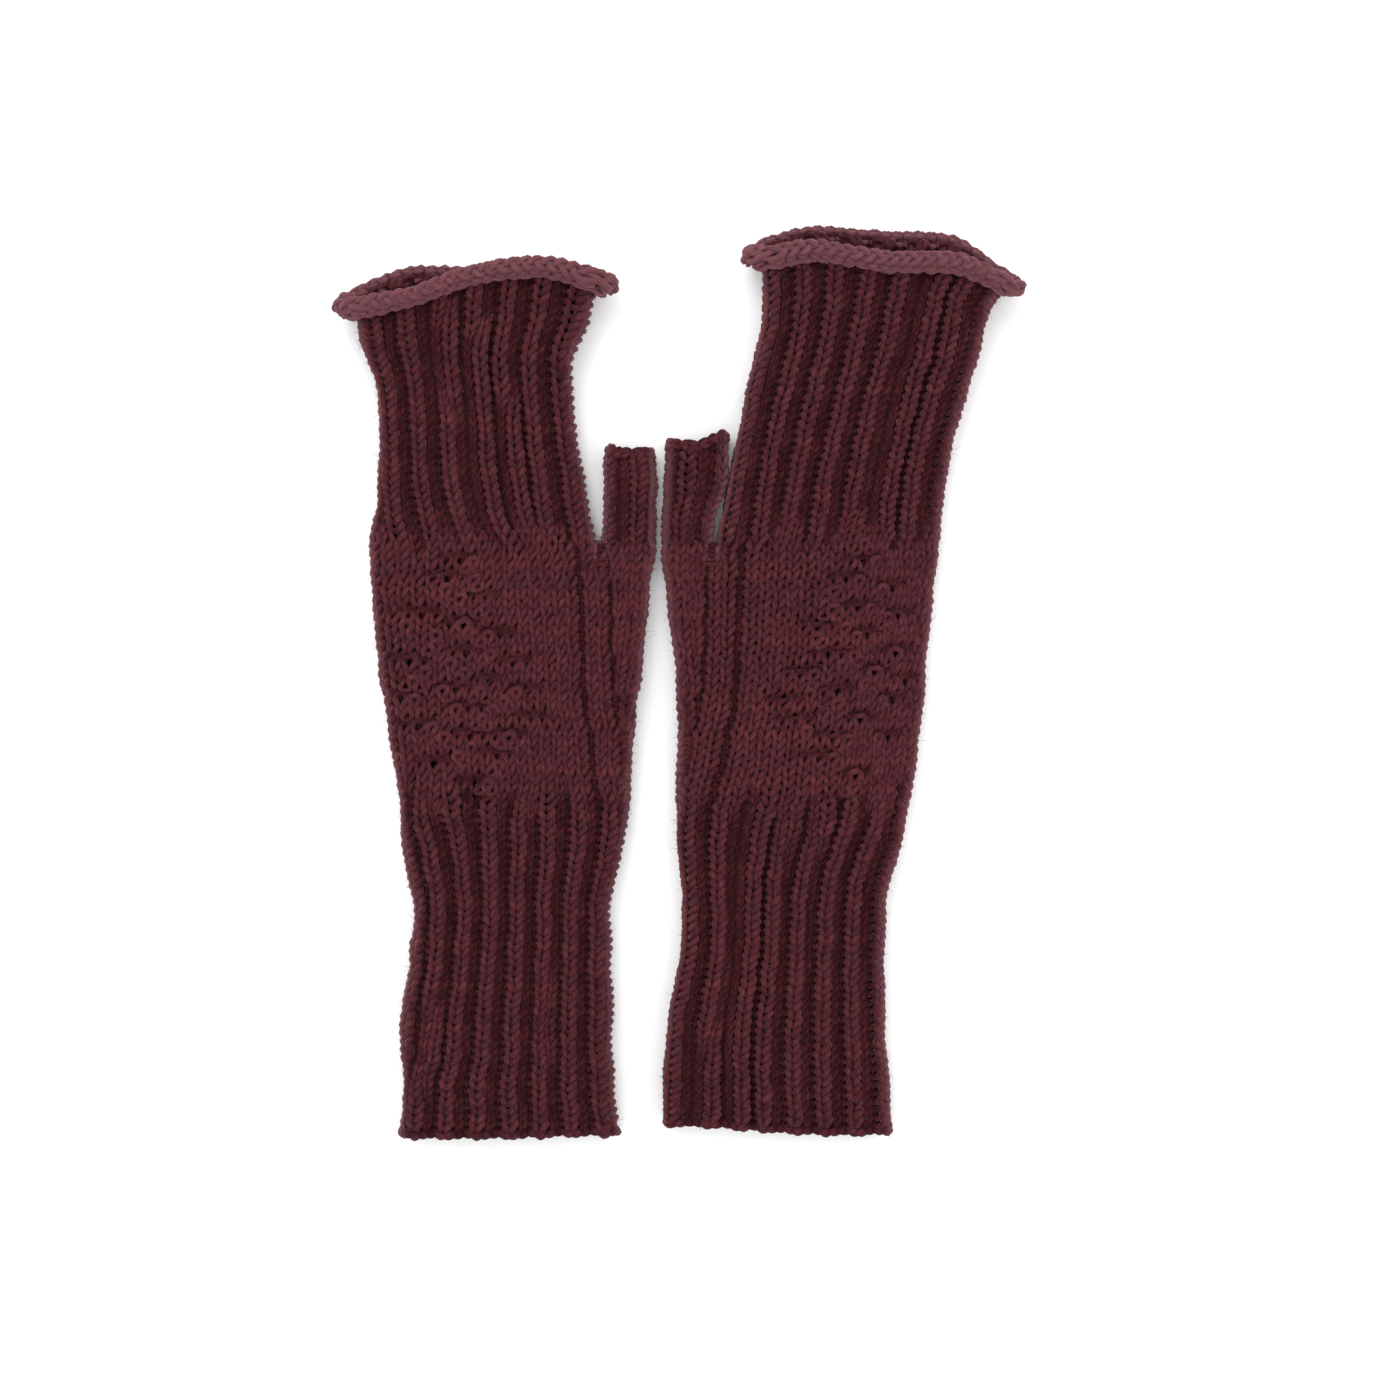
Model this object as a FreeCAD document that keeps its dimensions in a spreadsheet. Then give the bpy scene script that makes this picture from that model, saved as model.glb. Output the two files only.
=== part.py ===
"""A pair of hand-knitted fingerless mitts, lying flat on a table side by side.

Each mitt is a flattened tube, knitted upwards from the cast-on edge: a ribbed cuff, a narrow wrist, a plain
hand with a diamond motif on its upper layer, a ribbed finger part and a rim that rolls outwards. A gusset
widens the hand towards the thumb, and the thumb is a short ribbed tube of its own.

Frame: millimetres, +X across the pair, +Y towards the fingers, +Z up from the table. The pair lies on Z = 0.
Every tube is drawn as stadium-shaped sections across Y, joined by ruled lofts, with a loft cut out inside.
Where a mitt folds, at the wrist, the knuckles and the thumb, the tubes are parted by a narrow gap.
"""

import FreeCAD, Part  # noqa: E401

import math
import os

import Sketcher

OUT_FOLDER = "parts"
SHEET = "sizes"

# Sizes that both mitts share.
SHARED = {
    "wall": 3.4,  # thickness of one layer of the knitting
    "flat_thickness": 12.4,  # both layers of a mitt, with the air between them
    "finger_thickness": 14.0,  # the same half way along the fingers
    "flare_thickness": 15.0,  # and where the finger part opens under the rim
    "finger_lift": 1.2,  # how far the finger part has risen off the table, held up by the rolled rim
    "flare_lift": 3.2,
    "rim_thickness": 26.0,
    "rim_bead": 8.6,  # diameter of the roll at the finger opening
    "rim_gap": 0.1,  # between the roll and the end of the tube
    "edge_height": 3.6,  # cast-on edge
    "thumb_edge_height": 3.2,  # bound-off edge of the thumb
    "fold_gap": 0.8,  # between two tubes that fold against each other
    "crotch_gap": 1.7,  # between the hand and the thumb, above where they part
    "gusset_depth": 3.0,  # how far in from the side the gusset starts, at its lower tip
    "tail_diameter": 2.2,  # woven-in yarn ends
    "tail_clearance": 0.35,
    "pair_gap": 2.2,  # between the two mitts, where they are nearest
    "pair_middle": -7.56,  # X of the line between them
}

# A station is (width, reach of the thumb-side edge past the line where thumb and fingers part, distance from
# the cast-on edge). At the crotch and at the rim the reach and the width follow from other sizes.
STATIONS = {
    "left": {
        "cast_on": (79.9, 7.0, 0.0),
        "cuff": (77.4, 5.5, 36.0),
        "wrist": (71.6, 4.8, 81.0),
        "palm": (83.9, 11.0, 115.2),
        "apex": (89.6, 12.8, 145.8),
        "knuckle": (78.5, -3.8, 234.0),
        "finger": (72.7, -8.8, 268.2),
        "flare": (78.0, -8.9, 289.0),
    },
    "right": {
        "cast_on": (82.8, 18.5, 0.0),
        "cuff": (79.6, 17.4, 35.0),
        "wrist": (72.0, 10.9, 78.1),
        "palm": (83.9, 14.1, 114.1),
        "apex": (88.2, 13.1, 144.7),
        "knuckle": (78.8, -4.6, 232.9),
        "finger": (79.2, -9.9, 261.7),
        "flare": (80.0, -17.9, 290.0),
    },
}

# The other sizes of each mitt: where it starts, the crotch, the thumb, the rim and the motif.
PLACES = {
    "left": {
        "start": -165.3,
        "crotch_width": 103.6,
        "crotch_rise": 214.2,
        "thumb_width": 19.2,
        "thumb_fold": 224.0,
        "thumb_length": 250.0,
        "thumb_end_width": 19.4,
        "thumb_spread": 0.0,
        "rim_width": 100.8,
        "rim_reach": 0.6,
        "rim_rise": 305.8,
        "rim_tilt": 3.4,
        "rim_slope": 8.0,
        "motif_width": 42.5,
        "motif_inset": 35.8,
        "motif_low": 119.5,
        "motif_wide": 152.0,
        "motif_high": 208.8,
        "motif_lean": -6.8,
    },
    "right": {
        "start": -164.2,
        "crotch_width": 99.7,
        "crotch_rise": 213.1,
        "thumb_width": 17.6,
        "thumb_fold": 223.0,
        "thumb_length": 249.0,
        "thumb_end_width": 23.4,
        "thumb_spread": 6.8,
        "rim_width": 101.2,
        "rim_reach": -16.6,
        "rim_rise": 318.0,
        "rim_tilt": -6.4,
        "rim_slope": 25.0,
        "motif_width": 36.0,
        "motif_inset": 30.8,
        "motif_low": 119.5,
        "motif_wide": 148.0,
        "motif_high": 210.5,
        "motif_lean": 8.6,
    },
}

# Which way the thumb points from each mitt's middle, along X.
THUMB_SIDE = {"left": 1, "right": -1}


def fill_sheet(doc):
    """Writes every driving size into the spreadsheet, one row each."""
    sheet = doc.addObject("Spreadsheet::Sheet", SHEET)
    values = dict(SHARED)
    for side in STATIONS:
        for station, (width, reach, rise) in STATIONS[side].items():
            values[f"{side}_{station}_width"] = width
            values[f"{side}_{station}_reach"] = reach
            values[f"{side}_{station}_rise"] = rise
        for name, value in PLACES[side].items():
            values[f"{side}_{name}"] = value
    for row, (alias, value) in enumerate(values.items(), start=1):
        sheet.set(f"A{row}", alias)
        sheet.set(f"B{row}", str(value))
        sheet.setAlias(f"B{row}", alias)
    doc.recompute()


def cell(alias):
    """The expression that reads one cell."""
    return f"{SHEET}.{alias}"


class Section:
    """A stadium-shaped outline across Y. Every size is an expression.

    x and y place its middle, lift is the height of its underside, tilt turns it about Z, and slope leans its
    top back towards the cuff.
    """

    def __init__(self, x, y, width, thickness, lift="0", tilt="0", slope="0"):
        self.x = x
        self.y = y
        self.width = width
        self.thickness = thickness
        self.lift = lift
        self.tilt = tilt
        self.slope = slope

    def inner(self):
        """The outline of the hollow: the same stadium, one wall further in."""
        wall = cell("wall")
        width = f"{self.width} - 2 * {wall}"
        thickness = f"{self.thickness} - 2 * {wall}"
        return Section(self.x, self.y, width, thickness, f"{self.lift} + {wall}", self.tilt, self.slope)


def plane_of(body, role):
    """One of a body's own origin planes."""
    return next(feature for feature in body.Origin.OriginFeatures if feature.Role == role)


def new_sketch(body, name, role):
    """An empty sketch on one of the body's origin planes."""
    sketch = body.newObject("Sketcher::SketchObject", name)
    sketch.AttachmentSupport = [(plane_of(body, role), "")]
    sketch.MapMode = "FlatFace"
    return sketch


def drive(sketch, name, constraint, expression):
    """Adds a constraint with a name and binds it to an expression."""
    index = sketch.addConstraint(constraint)
    sketch.renameConstraint(index, name)
    sketch.setExpression(f"Constraints.{name}", expression)


def stand_across_y(sketch, x, y, tilt="0", slope="0"):
    """Moves a sketch on the XZ plane to its place. Its own Z points along -Y, and its own Y upwards."""
    place = f"vector({x}; 0; -({y}))"
    turn = f"rotation(vector(0; 1; 0); {tilt}) * rotation(vector(1; 0; 0); {slope})"
    sketch.setExpression("AttachmentOffset", f"placement({place}; {turn})")


def stadium_sketch(body, name, section):
    """A stadium: two level lines joined by two half rounds, centred on the sketch's vertical axis."""
    sketch = new_sketch(body, name, "XZ_Plane")
    half, radius, lift = 30.0, 5.0, 1.0  # a first guess, which the constraints then move
    low, middle, high = lift, lift + radius, lift + 2 * radius
    point = FreeCAD.Vector
    normal = point(0, 0, 1)
    right = Part.Circle(point(half, middle, 0), normal, radius)
    left = Part.Circle(point(-half, middle, 0), normal, radius)
    quarter = math.pi / 2
    sketch.addGeometry(Part.LineSegment(point(-half, low, 0), point(half, low, 0)))
    sketch.addGeometry(Part.ArcOfCircle(right, -quarter, quarter))
    sketch.addGeometry(Part.LineSegment(point(half, high, 0), point(-half, high, 0)))
    sketch.addGeometry(Part.ArcOfCircle(left, quarter, 3 * quarter))
    for first, second in ((0, 1), (1, 2), (2, 3), (3, 0)):
        sketch.addConstraint(Sketcher.Constraint("Tangent", first, 2, second, 1))
    sketch.addConstraint(Sketcher.Constraint("Symmetric", 0, 1, 0, 2, -2))
    sketch.addConstraint(Sketcher.Constraint("Equal", 1, 3))
    run = Sketcher.Constraint("DistanceX", 3, 3, 1, 3, 2 * half)
    rounding = Sketcher.Constraint("Radius", 1, radius)
    height = Sketcher.Constraint("DistanceY", -1, 1, 1, 3, middle)
    drive(sketch, "run", run, f"({section.width}) - ({section.thickness})")
    drive(sketch, "rounding", rounding, f"({section.thickness}) / 2")
    drive(sketch, "height", height, f"{section.lift} + ({section.thickness}) / 2")
    stand_across_y(sketch, section.x, section.y, section.tilt, section.slope)
    return sketch


def circle_sketch(body, name, role, across, height, diameter):
    """A circle on an upright plane."""
    sketch = new_sketch(body, name, role)
    point = FreeCAD.Vector
    sketch.addGeometry(Part.Circle(point(0, 6, 0), point(0, 0, 1), 1.0))
    drive(sketch, "across", Sketcher.Constraint("DistanceX", -1, 1, 0, 3, 0.5), across)
    drive(sketch, "height", Sketcher.Constraint("DistanceY", -1, 1, 0, 3, 6.0), height)
    drive(sketch, "radius", Sketcher.Constraint("Radius", 0, 1.0), f"{diameter} / 2")
    return sketch


def polygon_sketch(body, name, corners):
    """A closed outline on the table plane, each corner placed by two expressions."""
    sketch = new_sketch(body, name, "XY_Plane")
    count = len(corners)
    # A ring of first guesses keeps the corners in order round the outline until they are placed.
    turns = [2 * math.pi * i / count for i in range(count)]
    guesses = [FreeCAD.Vector(500 + 50 * math.cos(turn), 500 + 50 * math.sin(turn), 0) for turn in turns]
    for i in range(count):
        sketch.addGeometry(Part.LineSegment(guesses[i], guesses[(i + 1) % count]))
    for i in range(count):
        sketch.addConstraint(Sketcher.Constraint("Coincident", i, 2, (i + 1) % count, 1))
    for i, (x, y) in enumerate(corners):
        drive(sketch, f"across{i}", Sketcher.Constraint("DistanceX", -1, 1, i, 1, guesses[i].x), x)
        drive(sketch, f"along{i}", Sketcher.Constraint("DistanceY", -1, 1, i, 1, guesses[i].y), y)
    return sketch


def new_body(doc, label):
    """An empty body for one sub-part."""
    body = doc.addObject("PartDesign::Body", label)
    body.Label = label
    return body


def loft(body, kind, sketches):
    """A ruled loft through the sketches, added to the body or cut from it."""
    feature = body.newObject(f"PartDesign::{kind}", f"{body.Name}_{kind}")
    feature.Profile = sketches[0]
    feature.Sections = sketches[1:]
    feature.Ruled = True
    return feature


def tube(doc, label, sections):
    """A hollow tube of one wall's thickness through the sections."""
    body = new_body(doc, label)
    outside = [stadium_sketch(body, f"{label}_out{i}", s) for i, s in enumerate(sections)]
    loft(body, "AdditiveLoft", outside)
    inside = [stadium_sketch(body, f"{label}_in{i}", s.inner()) for i, s in enumerate(sections)]
    loft(body, "SubtractiveLoft", inside)
    return body


def rolled_rim(doc, label, end, bead):
    """The roll round the finger opening: a round bead swept along a stadium just beyond the tube's end."""
    body = new_body(doc, label)
    y = f"{end.y} + ({cell('rim_gap')} + {bead} / 2) / cos({end.slope})"
    lift = f"{bead} / 2 / cos({end.slope})"
    width = f"{end.width} + {bead} - 2 * {cell('wall')}"
    thickness = f"{end.thickness} + {bead} - 2 * {cell('wall')}"
    middle = Section(end.x, y, width, thickness, lift, end.tilt, end.slope)
    spine = stadium_sketch(body, f"{label}_spine", middle)
    across = f"{y} - {bead} / 2 * tan({end.slope})"
    profile = circle_sketch(body, f"{label}_profile", "YZ_Plane", across, f"{bead} / 2", bead)
    profile.setExpression(".AttachmentOffset.Base.z", end.x)
    pipe = body.newObject("PartDesign::AdditivePipe", f"{label}_roll")
    pipe.Profile = profile
    pipe.Spine = (spine, ["Edge1", "Edge2", "Edge3", "Edge4"])
    pipe.Mode = "Frenet"
    return body


def prism(doc, label, corners, bottom, height):
    """An upright block over a polygon, which cuts a patch out of a tube."""
    body = new_body(doc, label)
    sketch = polygon_sketch(body, f"{label}_outline", corners)
    sketch.setExpression(".AttachmentOffset.Base.z", bottom)
    pad = body.newObject("PartDesign::Pad", f"{label}_pad")
    pad.Profile = sketch
    pad.setExpression("Length", height)
    return body


def boolean(doc, kind, label, base, tool):
    """A Part boolean of two objects: Cut, or Common."""
    result = doc.addObject(f"Part::{kind}", label)
    result.Label = label
    result.Base = base
    result.Tool = tool
    return result


class Mitt:
    """Builds one mitt's sub-parts. Every place is worked out from the cells of its side."""

    def __init__(self, doc, side):
        self.doc = doc
        self.side = side
        self.out = THUMB_SIDE[side]

    def own(self, name):
        """The expression that reads one of this mitt's cells."""
        return cell(f"{self.side}_{name}")

    def label(self, name):
        """The name of one of this mitt's sub-parts."""
        return f"{self.side}_{name}"

    def part_x(self):
        """X of the line where thumb and fingers part. The mitt's furthest edge is half the pair's gap away."""
        thumb = f"{cell('crotch_gap')} / 2 + {self.own('thumb_width')}"
        thumb_end = f"{cell('crotch_gap')} / 2 - {self.own('thumb_spread')} + {self.own('thumb_end_width')}"
        edge = f"max({self.own('cast_on_reach')}; {self.own('cuff_reach')}; {thumb}; {thumb_end})"
        return f"{cell('pair_middle')} - {self.out} * ({cell('pair_gap')} / 2 + {edge})"

    def reaching(self, reach):
        """X at a distance past the parting line, towards the thumb."""
        return f"{self.part_x()} + {self.out} * ({reach})"

    def y(self, station, past="0"):
        """Y of a station, moved along by past."""
        return f"{self.own('start')} + {self.own(station + '_rise')} + {past}"

    def section(self, reach, width, y, **sizes):
        """A section whose thumb-side edge has the given reach."""
        sizes.setdefault("thickness", cell("flat_thickness"))
        return Section(self.reaching(f"{reach} - ({width}) / 2"), y, width, **sizes)

    def at(self, station, past="0", **sizes):
        """The section of the main tube at a station, moved along Y by past."""
        reach = self.own(station + "_reach")
        width = self.own(station + "_width")
        return self.section(reach, width, self.y(station, past), **sizes)

    def crotch(self):
        """The widest section, where the thumb lies beside the fingers."""
        reach = f"{cell('crotch_gap')} / 2 + {self.own('thumb_width')}"
        return self.section(reach, self.own("crotch_width"), self.y("crotch"))

    def fingers_at_crotch(self):
        """The lowest section of the finger side: what the thumb and the gap leave of the crotch's width."""
        width = f"({self.own('crotch_width')} - {self.own('thumb_width')} - {cell('crotch_gap')})"
        return self.section(f"-{cell('crotch_gap')} / 2", width, self.y("crotch"))

    def thumb_at(self, y, width, spread="0"):
        """A section of the thumb, whose inner edge leans by spread towards the fingers."""
        return self.section(f"{cell('crotch_gap')} / 2 - {spread} + {width}", width, y)

    def cuff(self):
        """The cast-on edge and the ribbed cuff, up to the wrist fold."""
        edge = [self.at("cast_on"), self.at("cast_on", cell("edge_height"))]
        rib = [edge[1], self.at("cuff"), self.at("wrist", f"(-{cell('fold_gap')} / 2)")]
        return [
            tube(self.doc, self.label("cast_on_edge"), edge),
            tube(self.doc, self.label("cuff_rib"), rib),
        ]

    def wrist(self):
        """The ribbing above the wrist fold."""
        sections = [self.at("wrist", f"{cell('fold_gap')} / 2"), self.at("palm")]
        return [tube(self.doc, self.label("wrist_rib"), sections)]

    def motif_corners(self):
        """The motif's corners: low tip, thumb side, high tip and far side. It leans a little."""
        far_edge = f"{cell('crotch_gap')} / 2 + {self.own('thumb_width')} - {self.own('crotch_width')}"
        x = self.reaching(f"{far_edge} + {self.own('motif_inset')}")
        half_width = f"{self.own('motif_width')} / 2"
        half_lean = f"{self.own('motif_lean')} / 2"
        start = self.own("start")
        low, wide, high = (f"{start} + {self.own('motif_' + level)}" for level in ("low", "wide", "high"))
        return [
            (f"{x} - {half_lean}", low),
            (f"{x} + {half_width}", wide),
            (f"{x} + {half_lean}", high),
            (f"{x} - {half_width}", wide),
        ]

    def gusset_corners(self):
        """The gusset's wedge: its lower tip, two corners beyond the mitt's side, and where the thumb parts."""
        beyond = self.reaching(f"{self.own('thumb_width')} + 2 * {cell('flat_thickness')}")
        tip = self.reaching(f"{self.own('apex_reach')} - {cell('gusset_depth')}")
        return [
            (tip, self.y("apex")),
            (beyond, self.y("apex")),
            (beyond, self.y("crotch", cell("flat_thickness"))),
            (self.part_x(), self.y("crotch", cell("flat_thickness"))),
            (self.part_x(), self.y("crotch")),
        ]

    def hand(self):
        """The plain hand, with the gusset and the diamond motif taken out as pieces of their own."""
        shell = tube(self.doc, self.label("whole_hand"), [self.at("palm"), self.at("apex"), self.crotch()])
        thick = cell("flat_thickness")
        gusset, motif = self.gusset_corners(), self.motif_corners()
        wedge = prism(self.doc, self.label("gusset_block"), gusset, f"-{thick}", f"3 * {thick}")
        upper = prism(self.doc, self.label("motif_block"), motif, f"{thick} / 2", thick)
        bare = boolean(self.doc, "Cut", self.label("hand_and_motif"), shell, wedge)
        return [
            boolean(self.doc, "Common", self.label("thumb_gusset"), shell, wedge),
            boolean(self.doc, "Common", self.label("diamond_motif"), bare, upper),
            boolean(self.doc, "Cut", self.label("hand_tube"), bare, upper),
        ]

    def fingers(self):
        """The ribbing over the knuckles, the finger ribbing beyond their fold, and the rolled rim."""
        half_gap = f"{cell('fold_gap')} / 2"
        bead = cell("rim_bead")
        outside_roll = f"({bead} - {cell('wall')})"  # the roll stands this far out of the tube, all round
        end = self.section(
            self.own("rim_reach"),
            f"({self.own('rim_width')} - 2 * {outside_roll})",
            self.y("rim"),
            thickness=f"({cell('rim_thickness')} - 2 * {outside_roll})",
            lift=outside_roll,
            tilt=self.own("rim_tilt"),
            slope=self.own("rim_slope"),
        )
        rib = [
            self.at("knuckle", half_gap),
            self.at("finger", thickness=cell("finger_thickness"), lift=cell("finger_lift")),
            self.at("flare", thickness=cell("flare_thickness"), lift=cell("flare_lift")),
            end,
        ]
        knuckles = [self.fingers_at_crotch(), self.at("knuckle", f"(-{half_gap})")]
        return [
            tube(self.doc, self.label("knuckle_rib"), knuckles),
            tube(self.doc, self.label("finger_rib"), rib),
            rolled_rim(self.doc, self.label("rolled_rim"), end, bead),
        ]

    def thumb_levels(self):
        """Y of the thumb's fold, of the start of its bound-off edge and of its end."""
        fold = f"{self.own('start')} + {self.own('thumb_fold')}"
        end = f"{self.own('start')} + {self.own('thumb_length')}"
        return fold, f"{end} - {cell('thumb_edge_height')}", end

    def thumb(self):
        """The rows picked up round the thumb's root, the thumb above its fold, and its bound-off edge."""
        half_gap = f"{cell('fold_gap')} / 2"
        fold, edge_start, end = self.thumb_levels()
        width = self.own("thumb_width")
        end_width = self.own("thumb_end_width")
        spread = self.own("thumb_spread")
        root = [self.thumb_at(self.y("crotch"), width), self.thumb_at(f"{fold} - {half_gap}", width)]
        edge = [self.thumb_at(edge_start, end_width, spread), self.thumb_at(end, end_width, spread)]
        rib = [self.thumb_at(f"{fold} + {half_gap}", width), edge[0]]
        return [
            tube(self.doc, self.label("thumb_root"), root),
            tube(self.doc, self.label("thumb_rib"), rib),
            tube(self.doc, self.label("thumb_bind_off"), edge),
        ]

    def tail(self, name, ends):
        """A yarn end woven in along the inside of a side, between two places given by reach, Y and height."""
        body = new_body(self.doc, self.label(name))
        sketches = []
        diameter = cell("tail_diameter")
        for i, (reach, y, height) in enumerate(ends):
            sketch = circle_sketch(body, f"{self.label(name)}_{i}", "XZ_Plane", "0", height, diameter)
            stand_across_y(sketch, self.reaching(reach), y)
            sketches.append(sketch)
        loft(body, "AdditiveLoft", sketches)
        return body

    def tails(self):
        """The cast-on and bind-off ends, in the far side's fold, and the thumb's, in its inner one."""
        inside = f"({cell('wall')} + {cell('tail_diameter')} / 2 + {cell('tail_clearance')})"
        flat_middle = f"{cell('flat_thickness')} / 2"

        def far(station, height=flat_middle, past="0"):
            reach = f"{self.own(station + '_reach')} - {self.own(station + '_width')} + {inside}"
            return reach, self.y(station, past), height

        fold, edge_start, _ = self.thumb_levels()
        root = f"{cell('crotch_gap')} / 2 + {inside}"
        cuff_tail = [far("cast_on", past=cell("edge_height")), far("cuff")]
        finger_middle = f"{cell('finger_lift')} + {cell('finger_thickness')} / 2"
        flare_middle = f"{cell('flare_lift')} + {cell('flare_thickness')} / 2"
        finger_tail = [far("finger", finger_middle), far("flare", flare_middle)]
        thumb_tail = [
            (root, f"{fold} + {cell('fold_gap')}", flat_middle),
            (f"{root} - {self.own('thumb_spread')}", edge_start, flat_middle),
        ]
        return [
            self.tail("cast_on_tail", cuff_tail),
            self.tail("bind_off_tail", finger_tail),
            self.tail("thumb_tail", thumb_tail),
        ]

    def build(self):
        """Every sub-part of the mitt that is written out."""
        return self.cuff() + self.wrist() + self.hand() + self.fingers() + self.thumb() + self.tails()


def check(doc, parts):
    """Stops if an object failed to build, or a sub-part isn't one valid closed solid."""
    for item in doc.Objects:
        if "Invalid" in item.State or "Error" in item.State:
            raise RuntimeError(f"{item.Label} failed: {item.State}")
    for part in parts:
        shape = part.Shape
        if shape.isNull() or not shape.isValid() or len(shape.Solids) != 1:
            raise RuntimeError(f"{part.Label} is not one valid solid")


def main():
    """Builds the document, checks it and writes each sub-part's shape."""
    doc = FreeCAD.newDocument("mitts")
    fill_sheet(doc)
    parts = [part for side in STATIONS for part in Mitt(doc, side).build()]
    doc.recompute()
    check(doc, parts)
    os.makedirs(OUT_FOLDER, exist_ok=True)
    for part in parts:
        part.Shape.exportStep(os.path.join(OUT_FOLDER, f"{part.Label}.step"))
        print(part.Label, round(part.Shape.Volume), "mm3")
    box = parts[0].Shape.BoundBox
    for part in parts:
        box.add(part.Shape.BoundBox)
    print("box", [round(v, 2) for v in (box.XMin, box.XMax, box.YMin, box.YMax, box.ZMin, box.ZMax)])


main()
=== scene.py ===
"""A pair of hand-knitted fingerless mitts, lying flat side by side, made stitch by stitch in yarn.

Each mitt is worked round and round from the cast-on edge: a ribbed cuff, a plain hand with a lace diamond on
its upper layer and a gusset towards the thumb, a ribbed finger part and a rim that rolls outwards. Every
course is a run of loops, laid on the mid-surface of the fabric, and the yarn is swept along it as a round
strand. The surface is a flattened tube whose edges are read from the frame.

Metres, +X across the pair, +Y towards the fingers, +Z up. "along" is the distance along Y, "around" is the
arc length round the tube from the edge on the thumb side, positive on the upper layer.
"""

import logging
import math
from dataclasses import dataclass, field
from enum import Enum
from typing import Callable, Optional, Sequence

import bpy
import numpy as np
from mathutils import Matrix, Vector


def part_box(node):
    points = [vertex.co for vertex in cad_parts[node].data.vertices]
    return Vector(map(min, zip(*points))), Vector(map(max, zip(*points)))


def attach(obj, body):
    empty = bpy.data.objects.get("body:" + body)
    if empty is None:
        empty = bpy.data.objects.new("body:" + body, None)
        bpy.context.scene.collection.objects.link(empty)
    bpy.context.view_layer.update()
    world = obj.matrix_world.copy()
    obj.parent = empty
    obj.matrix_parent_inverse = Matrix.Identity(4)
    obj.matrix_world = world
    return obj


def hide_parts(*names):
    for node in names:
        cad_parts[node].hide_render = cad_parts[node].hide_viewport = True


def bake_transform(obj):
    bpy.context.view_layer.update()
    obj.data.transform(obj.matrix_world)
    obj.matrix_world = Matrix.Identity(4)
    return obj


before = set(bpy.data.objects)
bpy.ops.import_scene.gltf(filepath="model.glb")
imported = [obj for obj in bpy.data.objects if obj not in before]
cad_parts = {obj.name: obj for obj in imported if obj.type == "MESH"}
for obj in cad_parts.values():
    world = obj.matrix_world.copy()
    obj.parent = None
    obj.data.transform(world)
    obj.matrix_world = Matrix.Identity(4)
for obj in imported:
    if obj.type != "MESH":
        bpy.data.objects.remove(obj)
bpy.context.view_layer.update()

MM = 0.001
log = logging.getLogger("mitts")


class Side(Enum):
    """Which mitt: its name, and the way its thumb points along X."""

    LEFT = ("left", 1)
    RIGHT = ("right", -1)

    @property
    def label(self) -> str:
        """The prefix of this mitt's nodes and pieces."""
        return self.value[0]

    @property
    def out(self) -> int:
        """+1 where the thumb points along +X, -1 where it points along -X."""
        return self.value[1]


# ---------------------------------------------------------------------------------------------------------
# Small maths
# ---------------------------------------------------------------------------------------------------------


def ease(value: np.ndarray, start: float, end: float) -> np.ndarray:
    """0 before start, 1 after end, and 3t^2 - 2t^3 between them.

    Args:
        value: Where to work it out.
        start: Where the ramp starts.
        end: Where it ends; it may lie below start.

    Returns:
        The ramp, from 0 to 1.
    """
    t = np.clip((np.asarray(value, float) - start) / (end - start), 0.0, 1.0)
    return t * t * (3.0 - 2.0 * t)


def unit(vectors: np.ndarray) -> np.ndarray:
    """The vectors at length one."""
    return vectors / np.maximum(np.linalg.norm(vectors, axis=-1, keepdims=True), 1e-12)


class Line:
    """A smooth curve through stations: cubic spans, each station's slope the harmonic mean of both sides."""

    def __init__(self, places: Sequence[float], values: Sequence[float]) -> None:
        """Keeps the stations and works out their slopes.

        Args:
            places: Where the stations are, rising.
            values: The curve's value at each.
        """
        self.places = np.asarray(places, float)
        self.values = np.asarray(values, float)
        gap = np.diff(self.places)
        rise = np.diff(self.values) / gap
        slopes = np.zeros_like(self.values)
        before, after = rise[:-1], rise[1:]
        same_way = before * after > 0
        total = np.where(same_way, before + after, 1.0)
        slopes[1:-1] = np.where(same_way, 2.0 * before * after / total, 0.0)
        slopes[0], slopes[-1] = rise[0], rise[-1]
        self.slopes = slopes

    def __call__(self, place: np.ndarray) -> np.ndarray:
        """The curve's value at each place; straight on beyond the ends."""
        place = np.asarray(place, float)
        i = np.clip(np.searchsorted(self.places, place) - 1, 0, len(self.places) - 2)
        gap = self.places[i + 1] - self.places[i]
        t = (place - self.places[i]) / gap
        u = np.clip(t, 0.0, 1.0)
        first, last = self.values[i], self.values[i + 1]
        leave, arrive = self.slopes[i] * gap, self.slopes[i + 1] * gap
        curve = (
            first * (1 + 2 * u) * (1 - u) ** 2
            + leave * u * (1 - u) ** 2
            + last * u * u * (3 - 2 * u)
            + arrive * u * u * (u - 1)
        )
        return curve + np.where(t < 0, leave * t, 0.0) + np.where(t > 1, arrive * (t - 1), 0.0)


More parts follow.
